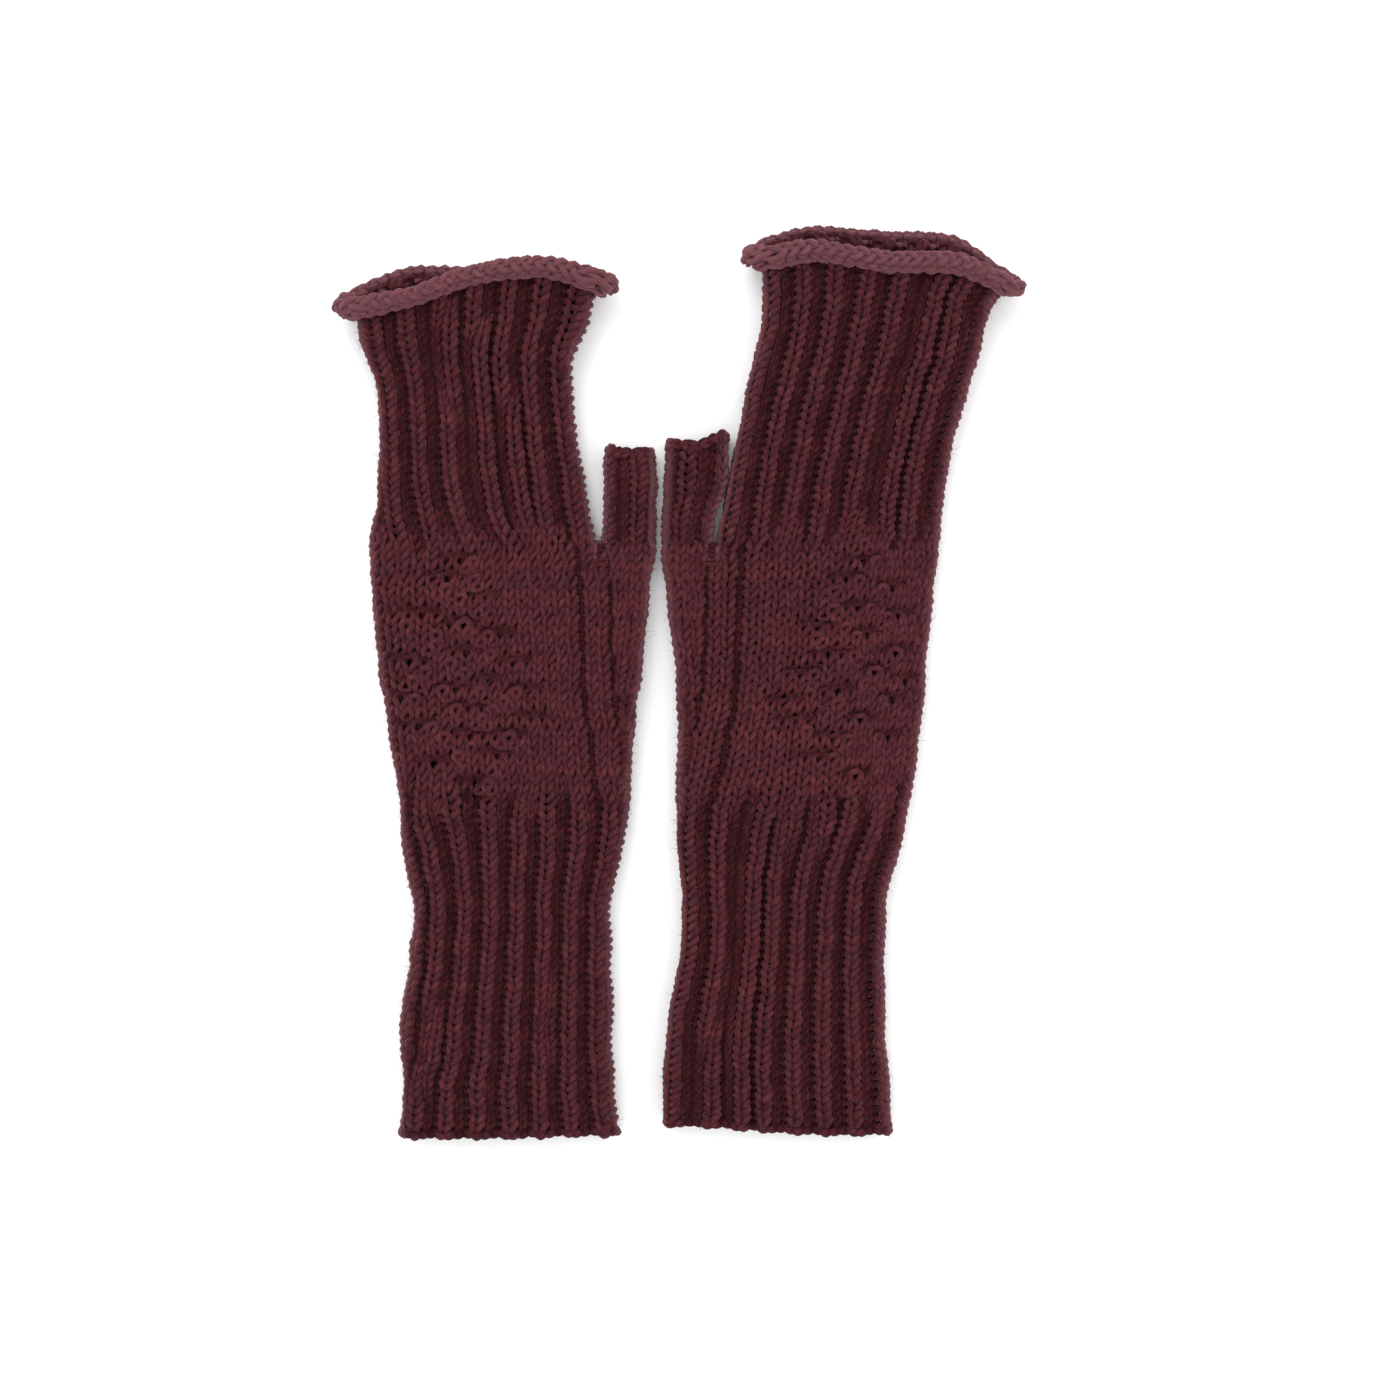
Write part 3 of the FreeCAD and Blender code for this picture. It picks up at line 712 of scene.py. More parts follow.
@dataclass
class MittForm:
    """Where every point of one mitt's fabric lies, worked out from the frame's nodes."""

    side: Side
    lie: Lie
    wall: float = 3.4 * MM
    crease: float = 15 * MM  # how far below the crotch the two layers start to draw together
    bead: float = 8.6 * MM
    roll_radius: float = 2.55 * MM
    roll_tighten: float = 0.16
    hem_reach: float = 24 * MM
    tip_reach: float = 13 * MM

    def __post_init__(self) -> None:
        """Reads the stations and makes the tubes."""
        self.out = self.side.out
        self.start = self.low("cast_on_edge")
        self.wrist = self.low("wrist_rib")
        self.palm = self.low("hand_tube")
        self.apex = self.low("thumb_gusset")
        self.crotch = self.low("thumb_root")
        self.knuckle = self.low("finger_rib")
        self.thumb_fold = self.low("thumb_rib")
        self.thumb_edge = self.low("thumb_bind_off")
        self.thumb_end = float(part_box(self.node("thumb_bind_off"))[1][1])
        self.read_motif()
        self.read_rim()
        self.read_tubes()
        self.hem, self.tip = bow(self.lie.hem), bow(self.lie.tip)
        seed = 11 if self.side is Side.LEFT else 23
        self.billow = Drift(seed, (42 * MM, 61 * MM, 83 * MM, 130 * MM), 0.45 * MM)
        self.waver = Drift(seed + 1, (24 * MM, 37 * MM, 55 * MM), 0.35 * MM)

    def node(self, name: str) -> str:
        """The full name of one of this mitt's nodes."""
        return f"{self.side.label}_{name}"

    def low(self, name: str) -> float:
        """The lowest Y of one of this mitt's nodes."""
        return float(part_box(self.node(name))[0][1])

    def cut(self, along: float, *names: str) -> tuple[float, float, float, float]:
        """Thumb-side edge, far edge, bottom and top of the nodes' joint section at a place."""
        cuts = [slice_of(self.node(name), along) for name in names]
        low = np.min([cut[0] for cut in cuts], 0)
        high = np.max([cut[1] for cut in cuts], 0)
        edges = (high[0], low[0]) if self.out > 0 else (low[0], high[0])
        return edges[0], edges[1], low[2], high[2]

    def read_motif(self) -> None:
        """Finds the motif's two tips and the straight middle line between them."""
        low, high = (float(corner[1]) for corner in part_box(self.node("diamond_motif")))
        hair = 1.0 * MM
        ends = [slice_of(self.node("diamond_motif"), along) for along in (low + hair, high - hair)]
        tips = [float(end[0][0] + end[1][0]) / 2 for end in ends]
        self.motif_low, self.motif_high = low, high
        self.motif_middle = Line((low, (low + high) / 2, high), (tips[0], sum(tips) / 2, tips[1]))

    def read_rim(self) -> None:
        """Fits a plane to the roll: Y = a + tilt x X + slope x Z, by least squares."""
        co = corners_of(self.node("rolled_rim"))
        middle = (co.min(0) + co.max(0)) / 2
        off = co - middle
        table = np.stack([np.ones(len(off)), off[:, 0], off[:, 2]], 1)
        level, tilt, slope = np.linalg.lstsq(table, co[:, 1], rcond=None)[0]
        roll = self.bead - self.wall
        spread = (co.max(0) - co.min(0)) / 2
        self.rim_box = (middle, spread[0] - roll, spread[2] - roll)
        end = level - self.bead / 2 * math.sqrt(1 + slope * slope)
        self.rim = Rim(
            end=end,
            start=end - 55 * MM,
            tilt=tilt,
            slope=slope,
            middle=middle,
            half_width=spread[0] - roll,
            out=self.out,
            front=bow(self.lie.rim_front),
            back=bow(self.lie.rim_back),
            radius=self.roll_radius,
            tighten=self.roll_tighten,
        )

    def read_tubes(self) -> None:
        """Makes the hand's tube, the finger tube and the thumb's tube from slices of the nodes."""
        cuff_low, cuff_length = self.low("cuff_rib"), self.wrist - self.low("cuff_rib")
        lie = self.lie
        hand = [
            (self.start, self.wider(self.cut(self.start, "cast_on_edge"), lie.flare, lie.flare)),
            (cuff_low + 0.42 * cuff_length, self.cut(cuff_low + 0.42 * cuff_length, "cuff_rib")),
            (self.wrist, self.cut(self.wrist, "wrist_rib")),
            (self.palm, self.cut(self.palm, "hand_tube")),
            (self.apex, self.cut(self.apex, "hand_tube", "thumb_gusset")),
            (self.crotch, self.cut(self.crotch - 0.2 * MM, "hand_tube", "thumb_gusset")),
        ]
        rib = self.knuckle
        reach = self.rim.end - rib
        fingers = [(self.crotch, self.cut(self.crotch, "knuckle_rib")), (rib, self.cut(rib, "finger_rib"))]
        for share in (0.24, 0.46, 0.60):
            fingers.append((rib + share * reach, self.cut(rib + share * reach, "finger_rib")))
        middle, half_width, half_height = self.rim_box
        ends = (middle[0] + self.out * half_width, middle[0] - self.out * half_width)
        rim = (*ends, middle[2] - half_height, middle[2] + half_height)
        between = tuple((first + last) / 2 for first, last in zip(fingers[-1][1], rim))
        fingers.append((rib + 0.8 * reach, self.wider(between, -lie.neck, -lie.neck)))
        fingers.append((self.rim.end, rim))
        thumb = [(self.crotch, self.cut(self.crotch, "thumb_root"))]
        middle = (self.thumb_fold + self.thumb_end) / 2
        bulging = (
            (self.thumb_fold, 0.7, "thumb_rib"),
            (middle, 1.0, "thumb_rib"),
            (self.thumb_end, 0.3, "thumb_bind_off"),
        )
        for along, share, name in bulging:
            section = self.cut(along, name)
            thumb.append((along, self.wider(section, lie.lean_over * min(1, 2 * share), share * lie.belly)))
        shared = [self.line(hand[:-1] + fingers, part) for part in (1, 2, 3)]
        self.hand = Tube(self.line(hand, 0), *shared, self.wall, self.out)
        self.fingers = Tube(self.line(fingers, 0), *shared, self.wall, self.out)
        self.thumb = Tube(*(self.line(thumb, part) for part in range(4)), self.wall, self.out)
        self.thumb_half = float(self.thumb.half(self.crotch))

    def wider(self, section: tuple, thumb_side: float, far_side: float) -> tuple:
        """A section with its two edges moved outwards by the given amounts."""
        thumb_edge, far_edge, bottom, top = section
        return thumb_edge + self.out * thumb_side, far_edge - self.out * far_side, bottom, top

    def line(self, stations: list, part: int) -> Line:
        """A smooth curve through one of the four values of the stations."""
        return Line([along for along, _ in stations], [values[part] for _, values in stations])

    def uneven(self, points: np.ndarray, outward: np.ndarray, along: np.ndarray) -> np.ndarray:
        """Adds the slow unevenness of cloth that was laid down by hand."""
        height = self.billow(points[..., 0], points[..., 1]) * np.clip(outward[..., 2], 0, 1)
        sway = self.waver(points[..., 2] * 0.3, along) * outward[..., 0] * self.out
        return points + np.stack([sway * self.out, 0 * sway, height], -1)

    def on_hand(self, around: np.ndarray, along: np.ndarray) -> tuple[np.ndarray, np.ndarray]:
        """Points of the hand below the crotch, where its two layers draw together between thumb and fingers.

        There, a share that grows from 0 to 1 towards the crotch goes to the fingers' section for what lies
        beyond the gusset's edges, and to the thumb's section for what lies between them.
        """
        points, outward = self.hand.place(around, along)
        share = ease(along, self.crotch - self.crease, self.crotch)[..., None]
        above = np.maximum(along, self.crotch)
        whole = self.hand.half(along)
        band = np.minimum(self.thumb_half, 0.6 * whole)
        inside = np.abs(around) < band
        grow = self.fingers.half(above) / np.maximum(whole - band, 1 * MM)
        beyond = np.sign(around) * (np.abs(around) - band) * grow
        finger_points, finger_out = self.fingers.place(beyond, above)
        thumb_points, thumb_out = self.thumb.place(around * self.thumb_half / band, above)
        split = np.where(inside[..., None], thumb_points, finger_points)
        split[..., 1] = along
        split_out = np.where(inside[..., None], thumb_out, finger_out)
        points = points * (1 - share) + split * share
        outward = unit(outward * (1 - share) + split_out * share)
        points = self.uneven(points, outward, along)
        share = ease(along, self.start + self.hem_reach, self.start)
        points[..., 1] += share * self.hem(self.across(self.hand, points, along))
        return points, outward

    def across(self, tube: Tube, points: np.ndarray, along: np.ndarray) -> np.ndarray:
        """Where points lie across a tube: -1 at its far edge, 1 at its thumb side."""
        middle = (tube.thumb_edge(along) + tube.far_edge(along)) / 2
        return 2 * (points[..., 0] - middle) / (tube.thumb_edge(along) - tube.far_edge(along))

    def on_thumb(self, around: np.ndarray, along: np.ndarray) -> tuple[np.ndarray, np.ndarray]:
        """Points of the thumb's tube."""
        points, outward = self.thumb.place(around, along)
        points = self.uneven(points, outward, along)
        share = ease(along, self.thumb_end - self.tip_reach, self.thumb_end)
        points[..., 1] += share * self.tip(self.across(self.thumb, points, along))
        return points, outward

    def on_finger_tube(self, around: np.ndarray, along: np.ndarray) -> tuple[np.ndarray, np.ndarray]:
        """Points of the finger tube below the roll, slanted towards the rim's plane."""
        points, outward = self.fingers.place(around, along)
        points = self.uneven(points, outward, along)
        points[..., 1] += self.rim.slant(points, along)
        return points, outward

    def on_fingers(self, around: np.ndarray, along: np.ndarray) -> tuple[np.ndarray, np.ndarray]:
        """Points of the finger tube and of the roll beyond its end.

        In the roll the way past the end becomes an angle a = way / radius, and a point is the end's point
        + radius (sin a x onwards + (1 - cos a) x outward). The radius shrinks slowly, so that the roll is a
        loose spiral, and it is larger at the two ends of the opening.
        """
        end = self.rim.end
        past = np.maximum(along - end, 0.0)
        below = np.minimum(along, end)
        points, outward = self.on_finger_tube(around, below)
        before, _ = self.on_finger_tube(around, below - 2 * MM)
        onwards = unit(points - before)
        outward = unit(outward - onwards * (onwards * outward).sum(-1, keepdims=True))
        angle = past / self.rim.radius
        full = self.rim.size_at(points)
        radius = full * (1 - self.rim.tighten * angle / (2 * math.pi))
        centre = points + outward * full[..., None]
        arm = onwards * np.sin(angle)[..., None] - outward * np.cos(angle)[..., None]
        rolled = centre + arm * radius[..., None]
        rolled_out = outward * np.cos(angle)[..., None] - onwards * np.sin(angle)[..., None]
        rolling = (past > 0)[..., None]
        return np.where(rolling, rolled, points), np.where(rolling, rolled_out, outward)


# ---------------------------------------------------------------------------------------------------------
# Stitches
# ---------------------------------------------------------------------------------------------------------


class Part(Enum):
    """The pieces of one mitt that are knitted, each with its number on the fabric."""

    CAST_ON_EDGE = 0
    CUFF_RIB = 1
    WRIST_RIB = 2
    HAND_TUBE = 3
    DIAMOND_MOTIF = 4
    THUMB_GUSSET = 5
    KNUCKLE_RIB = 6
    FINGER_RIB = 7
    ROLLED_RIM = 8
    THUMB_ROOT = 9
    THUMB_RIB = 10
    THUMB_BIND_OFF = 11
    CAST_ON_TAIL = 12
    BIND_OFF_TAIL = 13
    THUMB_TAIL = 14


@dataclass
class Columns:
    """The columns of stitches that cross one course, in the order in which they are worked."""

    name: np.ndarray  # each column's number
    sign: np.ndarray  # +1 knit, -1 purl
    depth: np.ndarray  # how far the column stands in or out
    edges_low: np.ndarray  # the columns' edges, around, at the course
    edges_high: np.ndarray  # and one course further on
    piece: np.ndarray  # which piece each stitch belongs to


@dataclass(frozen=True)
class Loops:
    """The shape of a stitch.

    With a from 0 to 2 pi along the stitch, it runs a / 2 pi + sway x sin 2a of its width, stands
    -reach x cos a from its course and relief x cos 2a behind the fabric's middle on a knit stitch, or before
    it on a purl one. The lean shears it.
    """

    samples: int = 12
    sway: float = 0.225
    reach: float = 0.80  # as a share of the distance between courses
    relief: float = 0.80 * MM
    lean: float = 0.22
    radius: float = 1.10 * MM


@dataclass
class Fabric:
    """Knits courses on a surface and hands the yarn out to the pieces."""

    place: Callable
    out: int
    loops: Loops
    seed: int
    skeins: dict = field(default_factory=dict)
    fibres: float = 0.35  # loose fibres for each point of the yarn along a fold
    fibre_length: float = 2.8 * MM  # of the longest one
    holes: list = field(default_factory=list)  # (around, along, radius)

    def __post_init__(self) -> None:
        """Draws this fabric's unevenness."""
        self.tension = Drift(self.seed, (9 * MM, 14 * MM, 23 * MM, 41 * MM), 0.22 * MM)
        self.depths = Drift(self.seed + 1, (7 * MM, 12 * MM, 26 * MM), 0.14 * MM)
        self.dyes = Drift(self.seed + 2, (4 * MM, 7 * MM, 13 * MM, 33 * MM, 60 * MM, 95 * MM), 0.24)
        self.thick = Drift(self.seed + 3, (11 * MM, 17 * MM, 29 * MM), 0.07)
        self.pending: list = []
        self.travel = 0.0

    def course(self, columns: Columns, low: float, high: float) -> None:
        """Works one course, from the edge opposite the thumb all the way round.

        Args:
            columns: The columns it crosses.
            low: Where the course starts, along.
            high: Where the next one starts.
        """
        loops = self.loops
        count = len(columns.name)
        phase = np.arange(loops.samples) * (2 * np.pi / loops.samples)
        stitch = np.arange(count)[:, None]
        share = phase / (2 * np.pi) + loops.sway * np.sin(2 * phase)
        level = low + (high - low) * (stitch + phase / (2 * np.pi)) / count
        along = level - loops.reach * (high - low) * np.cos(phase)
        rise = (along - low) / (high - low)
        edge_low, edge_high = columns.edges_low, columns.edges_high
        at_low = edge_low[:-1, None] + share * np.diff(edge_low)[:, None]
        at_high = edge_high[:-1, None] + share * np.diff(edge_high)[:, None]
        around = at_low + (at_high - at_low) * rise - self.out * loops.lean * (along - level)

        reach = np.clip((np.abs(phase / (2 * np.pi) - 0.5) - 0.25) / 0.5, 0, 0.5)
        towards = np.where(phase < np.pi, -1, 1)
        neighbour = (stitch + towards) % count
        sign = columns.sign[stitch] + (columns.sign[neighbour] - columns.sign[stitch]) * reach
        depth = columns.depth[stitch] + (columns.depth[neighbour] - columns.depth[stitch]) * reach
        depth = depth - sign * loops.relief * np.cos(2 * phase)
        piece = np.broadcast_to(columns.piece[stitch], around.shape)
        self.pending.append(tuple(part.ravel() for part in (around, along, depth, piece)))

    def strand(
        self, around: np.ndarray, along: np.ndarray, depth: np.ndarray, radius: float, part: Part
    ) -> None:
        """Lays one free strand over the fabric, such as a chained edge."""
        self.skeins[part.value].lay(self.shape(around, along, depth, radius))

    def shape(self, around: np.ndarray, along: np.ndarray, depth: np.ndarray, radius: float) -> Run:
        """Places yarn that is given round the tube, along it and out of it."""
        for hole_around, hole_along, hole_radius in self.holes:
            off_around, off_along = around - hole_around, along - hole_along
            gap = np.hypot(off_around, off_along)
            push = hole_radius**2 * np.exp(-((gap / (2.1 * hole_radius)) ** 2))
            grow = np.sqrt(gap**2 + push) / np.maximum(gap, 0.05 * MM)
            around, along = hole_around + off_around * grow, hole_along + off_along * grow
        around = around + self.tension(around, along)
        points, outward = self.place(around, along)
        depth = depth + self.depths(around, along)
        points = points + outward * depth[:, None]
        step = np.linalg.norm(np.diff(points, axis=0, prepend=points[:1]), axis=1)
        length = self.travel + np.cumsum(step)
        self.travel = float(length[-1])
        dye = np.clip(0.45 + self.dyes(length * 0.12, along), 0, 1)
        plump = 1 + np.clip(np.abs(depth) / (9 * MM) - 0.05, 0, 0.24)
        size = radius * plump * (1 + self.thick(length, 0 * length))
        points[:, 2] = np.maximum(points[:, 2], size)
        return Run(points, outward, size, dye, depth)

    def finish(self) -> None:
        """Places all the courses as one yarn and cuts it where the piece changes."""
        around, along, depth, piece = (np.concatenate(part) for part in zip(*self.pending))
        run = self.shape(around, along, depth, self.loops.radius)
        cuts = np.flatnonzero(np.diff(piece)) + 1
        starts = np.concatenate([[0], cuts])
        ends = np.concatenate([cuts + 1, [len(piece)]])
        for start, end in zip(starts, ends):
            self.skeins[int(piece[start])].lay(run.cut(start, end))
        self.fuzz(run, piece)
        self.pending = []

    def fuzz(self, run: Run, piece: np.ndarray) -> None:
        """Adds loose fibres that stand out of the yarn, most of them along the folds.

        Each is three points: on the yarn, and half and all of its length away, along a random direction that
        leans outwards, with a random bend.

        Args:
            run: The yarn they stand on.
            piece: The piece that each of its points belongs to.
        """
        draw = np.random.default_rng(self.seed + 7)
        fold = ease(np.abs(run.outward[:, 2]), 0.9, 0.1)
        chosen = np.flatnonzero(draw.random(len(piece)) < self.fibres * (0.03 + 0.97 * fold))
        aim = unit(draw.normal(size=(len(chosen), 3)) + 1.1 * run.outward[chosen])
        bend = draw.normal(size=aim.shape) * 0.35
        length = draw.uniform(0.8, self.fibre_length / MM, (len(chosen), 1)) * MM
        base = run.points[chosen] + aim * run.radius[chosen, None] * 0.8
        path = np.stack([base, base + aim * length / 2, base + (aim + bend) * length], 1)
        path[..., 2] = np.maximum(path[..., 2], 0.1 * MM)
        outward = np.tile(unit(np.cross(aim, [0.31, 0.17, 0.93]))[:, None], (1, 3, 1)) * [1.0, 1.0, 0.05]
        radius = np.tile(np.array([0.055, 0.045, 0.015]) * MM, (len(chosen), 1))
        dye = np.tile(run.dye[chosen, None], (1, 3))
        depth = np.full(3, 2 * MM)
        for i, owner in enumerate(piece[chosen]):
            self.skeins[int(owner)].lay(Run(path[i], unit(outward[i]), radius[i], dye[i], depth))


@dataclass
class Pattern:
    """How the columns run up one mitt: the ribs, the plain hand, the gusset and the motif."""

    form: MittForm
    dropped: tuple  # purl columns of the upper layer that the plain hand does without
    dropped_under: tuple = (6, 9, 12)  # and of the lower layer
    motif_column: int = 15
    columns: int = 22  # from the thumb-side edge to the far edge, on each layer
    purl_every: int = 3
    purl_line: int = 3  # the purl column that runs on beside the gusset
    stagger: float = 4.5 * MM  # how far apart the ribs end
    rib_row: float = 3.0 * MM
    plain_row: float = 3.38 * MM
    edge_band: float = 1.7 * MM  # half of the purl column on the thumb-side edge
    turn: float = 5.0 * MM  # how far the gusset's tip has turned on to the upper layer
    strong: float = 14.5
    weak: float = 8.0
    purl: float = 5.5
    fold_depth: float = -0.7 * MM  # of the purl column on the thumb-side edge
    line_share: float = 0.6  # of a plain stitch's width
    line_depth: float = -1.7 * MM
    rib_depth: tuple = (0.85 * MM, -1.5 * MM, -2.3 * MM)

    def __post_init__(self) -> None:
        """Works out where the ribbing ends and starts again, and the gusset's width."""
        form = self.form
        self.plain_from = form.palm - 1.0 * MM
        self.plain_to = form.crotch + 8.5 * MM
        self.favour = Drift(5 if form.side is Side.LEFT else 6, (1.7, 2.9, 5.3), 1.0)
        spread = form.crotch - form.apex
        self.band = Line(
            (form.start, form.apex - 4 * MM, form.apex + 8 * MM, form.apex + 0.5 * spread, form.crotch),
            (self.edge_band, self.edge_band, 4.6 * MM, 11.2 * MM, form.thumb_half),
        )

    def ribbed(self, along: float, number: float = 0.0) -> np.ndarray:
        """1 in the ribs, 0 in the plain hand. It eases over a few courses, for each unit at its own place."""
        fade = 4.5 * self.plain_row
        rim = self.form.rim.end
        place = along + self.stagger * np.sin(2.4 * np.asarray(number, float))
        leaving = 1 - ease(place, self.plain_from - 2 * MM, self.plain_from - 2 * MM + fade)
        arriving = ease(place, self.plain_to - fade, self.plain_to)
        rolling = 1 - ease(along, rim - 1.5 * self.rib_row, rim)
        return np.minimum(np.maximum(leaving, arriving), rolling)

    def off_centre(self, along: float) -> float:
        """How far the gusset's middle has turned on to the upper layer."""
        form = self.form
        rising = float(ease(along, form.palm - 8 * MM, form.apex))
        falling = float(ease(along, form.crotch - 8 * MM, form.apex + 8 * MM))
        return self.turn * min(rising, falling)

    def layer(self, along: float, top: bool) -> tuple[np.ndarray, np.ndarray, np.ndarray, np.ndarray]:
        """One layer's columns, counted away from the thumb-side edge.

        Args:
            along: Where.
            top: The upper layer, or the lower one.

        Returns:
            Numbers, shares of the width, signs and depths.
        """
        number = np.arange(1, self.columns + 1)
        place = number % self.purl_every
        rib_unit = number // self.purl_every
        rib = self.ribbed(along, rib_unit)
        is_purl = place == 0
        favoured = self.favour(rib_unit, np.full(len(number), along / (90 * MM) + 40.0 * top))
        bias = 0.9 * self.form.out
        first_strong = ease(favoured, bias - 0.25, bias + 0.25)
        strong = np.where(place == 1, first_strong, 1 - first_strong)
        knit_share = self.weak + (self.strong - self.weak) * strong
        average = (self.strong + self.weak + self.purl) / self.purl_every
        ribbed_share = np.where(is_purl, self.purl, knit_share) / average
        rolled = along > self.form.rim.end - 2 * self.rib_row
        gone = np.isin(number, self.dropped if top else self.dropped_under) & (not rolled)
        plain_share = np.where(gone, 0.0, 1.0)
        lined = (number == self.purl_line) & (not rolled)
        plain_share = np.where(lined, self.line_share, plain_share)
        share = rib * ribbed_share + (1 - rib) * plain_share
        knit_depth = self.rib_depth[1] + (self.rib_depth[0] - self.rib_depth[1]) * strong
        depth = rib * np.where(is_purl, self.rib_depth[2], knit_depth)
        depth = np.where(lined, depth + (1 - rib) * self.line_depth, depth)
        sign = np.where(is_purl & ((rib > 0.5) | lined), -1.0, 1.0)
        kept = share > 0.1
        return number[kept], share[kept], sign[kept], depth[kept]

    def gusset(self, along: float) -> tuple[np.ndarray, np.ndarray, np.ndarray, np.ndarray]:
        """The columns of the thumb-side band: one purl, or above the apex knits between two purls."""
        form = self.form
        if along < form.apex:
            return np.array([0]), np.ones(1), -np.ones(1), np.full(1, self.fold_depth)
        growth = (along - form.apex) / (form.crotch - form.apex)
        knits = 1 + 2 * min(int(growth * 5), 4)
        share = np.concatenate([[0.5], np.ones(knits), [0.5]])
        sign = np.concatenate([[-1.0], np.ones(knits), [-1.0]])
        depth = np.concatenate([[self.line_depth], np.zeros(knits), [self.line_depth]])
        return np.arange(knits + 2) - (knits + 1) // 2, share, sign, depth

    def edges(self, along: float, above: bool) -> tuple[np.ndarray, ...]:
        """Every column across one course, with its edges around the tube.

        Args:
            along: Where.
            above: Above the crotch, where the tube holds the fingers alone.

        Returns:
            Numbers, signs, depths and edges.
        """
        form = self.form
        tube = form.fingers if above else form.hand
        half = float(tube.half(min(along, form.rim.end)))
        band = self.edge_band if above else float(self.band(along))
        shift = 0.0 if above else self.off_centre(along)
        top = self.layer(along, True)
        under = self.layer(along, False)
        if above:
            rib = float(self.ribbed(along))
            sign = -np.ones(1) if rib > 0.5 or along < form.knuckle else np.ones(1)
            middle = (np.array([0]), np.ones(1), sign, np.full(1, self.fold_depth * rib))
        else:
            middle = self.gusset(along)
        back_share = np.cumsum(under[1][::-1]) / under[1].sum()
        middle_share = np.cumsum(middle[1]) / middle[1].sum()
        top_share = np.cumsum(top[1]) / top[1].sum()
        front, back = shift + band, shift - band
        top_share = self.anchored(top_share, top[0], along, front, half, tube)
        edges = np.concatenate([
            [-half],
            -half + (back + half) * back_share,
            back + 2 * band * middle_share,
            front + (half - front) * top_share,
        ])
        gusset_mark = 100 if not above and along >= form.apex else 0
        names = np.concatenate([-under[0][::-1], middle[0] + gusset_mark, top[0]])
        signs = np.concatenate([under[2][::-1], middle[2], top[2]])
        depths = np.concatenate([under[3][::-1], middle[3], top[3]])
        return names, signs, depths, edges

    def anchored(
        self, share: np.ndarray, number: np.ndarray, along: float, front: float, half: float, tube: Tube
    ) -> np.ndarray:
        """Slides the upper layer's columns so that the motif's middle column stays on its middle line.

        Args:
            share: Each column's far edge, as a share of the layer.
            number: The columns' numbers.
            along: Where.
            front: Where the layer starts, around.
            half: Where it ends.
            tube: The tube that the layer lies on.

        Returns:
            The edges' shares, moved.
        """
        form = self.form
        strength = min(
            float(ease(along, form.motif_low - 30 * MM, form.motif_low)),
            float(ease(along, form.motif_high + 32 * MM, form.motif_high + 4 * MM)),
        )
        if strength <= 0:
            return share
        i = int(np.flatnonzero(number == self.motif_column)[0])
        middle = (share[i] + share[i - 1]) / 2
        radius = (float(tube.top(along) - tube.bottom(along)) - form.wall) / 2
        inwards = form.out * (float(tube.thumb_edge(along)) - form.motif_middle(along)) - form.wall / 2
        wanted = (inwards - radius + math.pi * radius / 2 - front) / (half - front)
        wanted = middle + (wanted - middle) * strength
        nearer = share * wanted / middle
        further = 1 - (1 - share) * (1 - wanted) / (1 - middle)
        return np.where(share <= middle, nearer, further)

    def columns_at(self, low: float, high: float, above: bool, part: Part) -> Columns:
        """The columns of one course, whose edges are also worked out one course further on.

        Args:
            low: Where the course starts, along.
            high: Where the next one starts.
            above: Above the crotch.
            part: The piece that the course belongs to.

        Returns:
            The columns.
        """
        names, signs, depths, edges_low = self.edges(low, above)
        edges_high = self.edges(high, above)[3]
        if len(edges_high) != len(edges_low):
            edges_high = edges_low
        piece = np.full(len(names), part.value)
        return Columns(names, signs, depths, edges_low, edges_high, piece)


# ---------------------------------------------------------------------------------------------------------
# The sub-assemblies
# ---------------------------------------------------------------------------------------------------------


def courses(start: float, end: float, row: Callable) -> list[tuple[float, float]]:
    """Where the courses from start to end lie, a whole number of them.

    Args:
        start: Where the first one starts.
        end: Where the last one ends.
        row: The height of a course at a place.

    Returns:
        Each course's start and end.
    """
    found = [start]
    while found[-1] < end:
        found.append(found[-1] + row(found[-1]))
    whole = np.array(found)
    whole = start + (whole - start) * (end - start) / (whole[-1] - start)
    return list(zip(whole[:-1], whole[1:]))


@dataclass(frozen=True)
class Braid:
    """Strands that are plaited along an edge."""

    pitch: float  # length of one turn of a strand
    radius: float
    swing: float = 0.95 * MM  # how far the strands swing along the mitt
    lift: float = 0.55 * MM  # how far they swing out of the fabric
    strands: int = 2
    samples: int = 16  # points in each turn

    def strand(self, length: np.ndarray, pitch: float, phase: float) -> tuple[np.ndarray, np.ndarray]:
        """One strand: swing x sin(p) across the edge and lift x sin(2p) out of it, p once each pitch."""
        turn = 2 * np.pi * length / pitch + phase
        return self.swing * np.sin(turn), self.lift * np.sin(2 * turn)


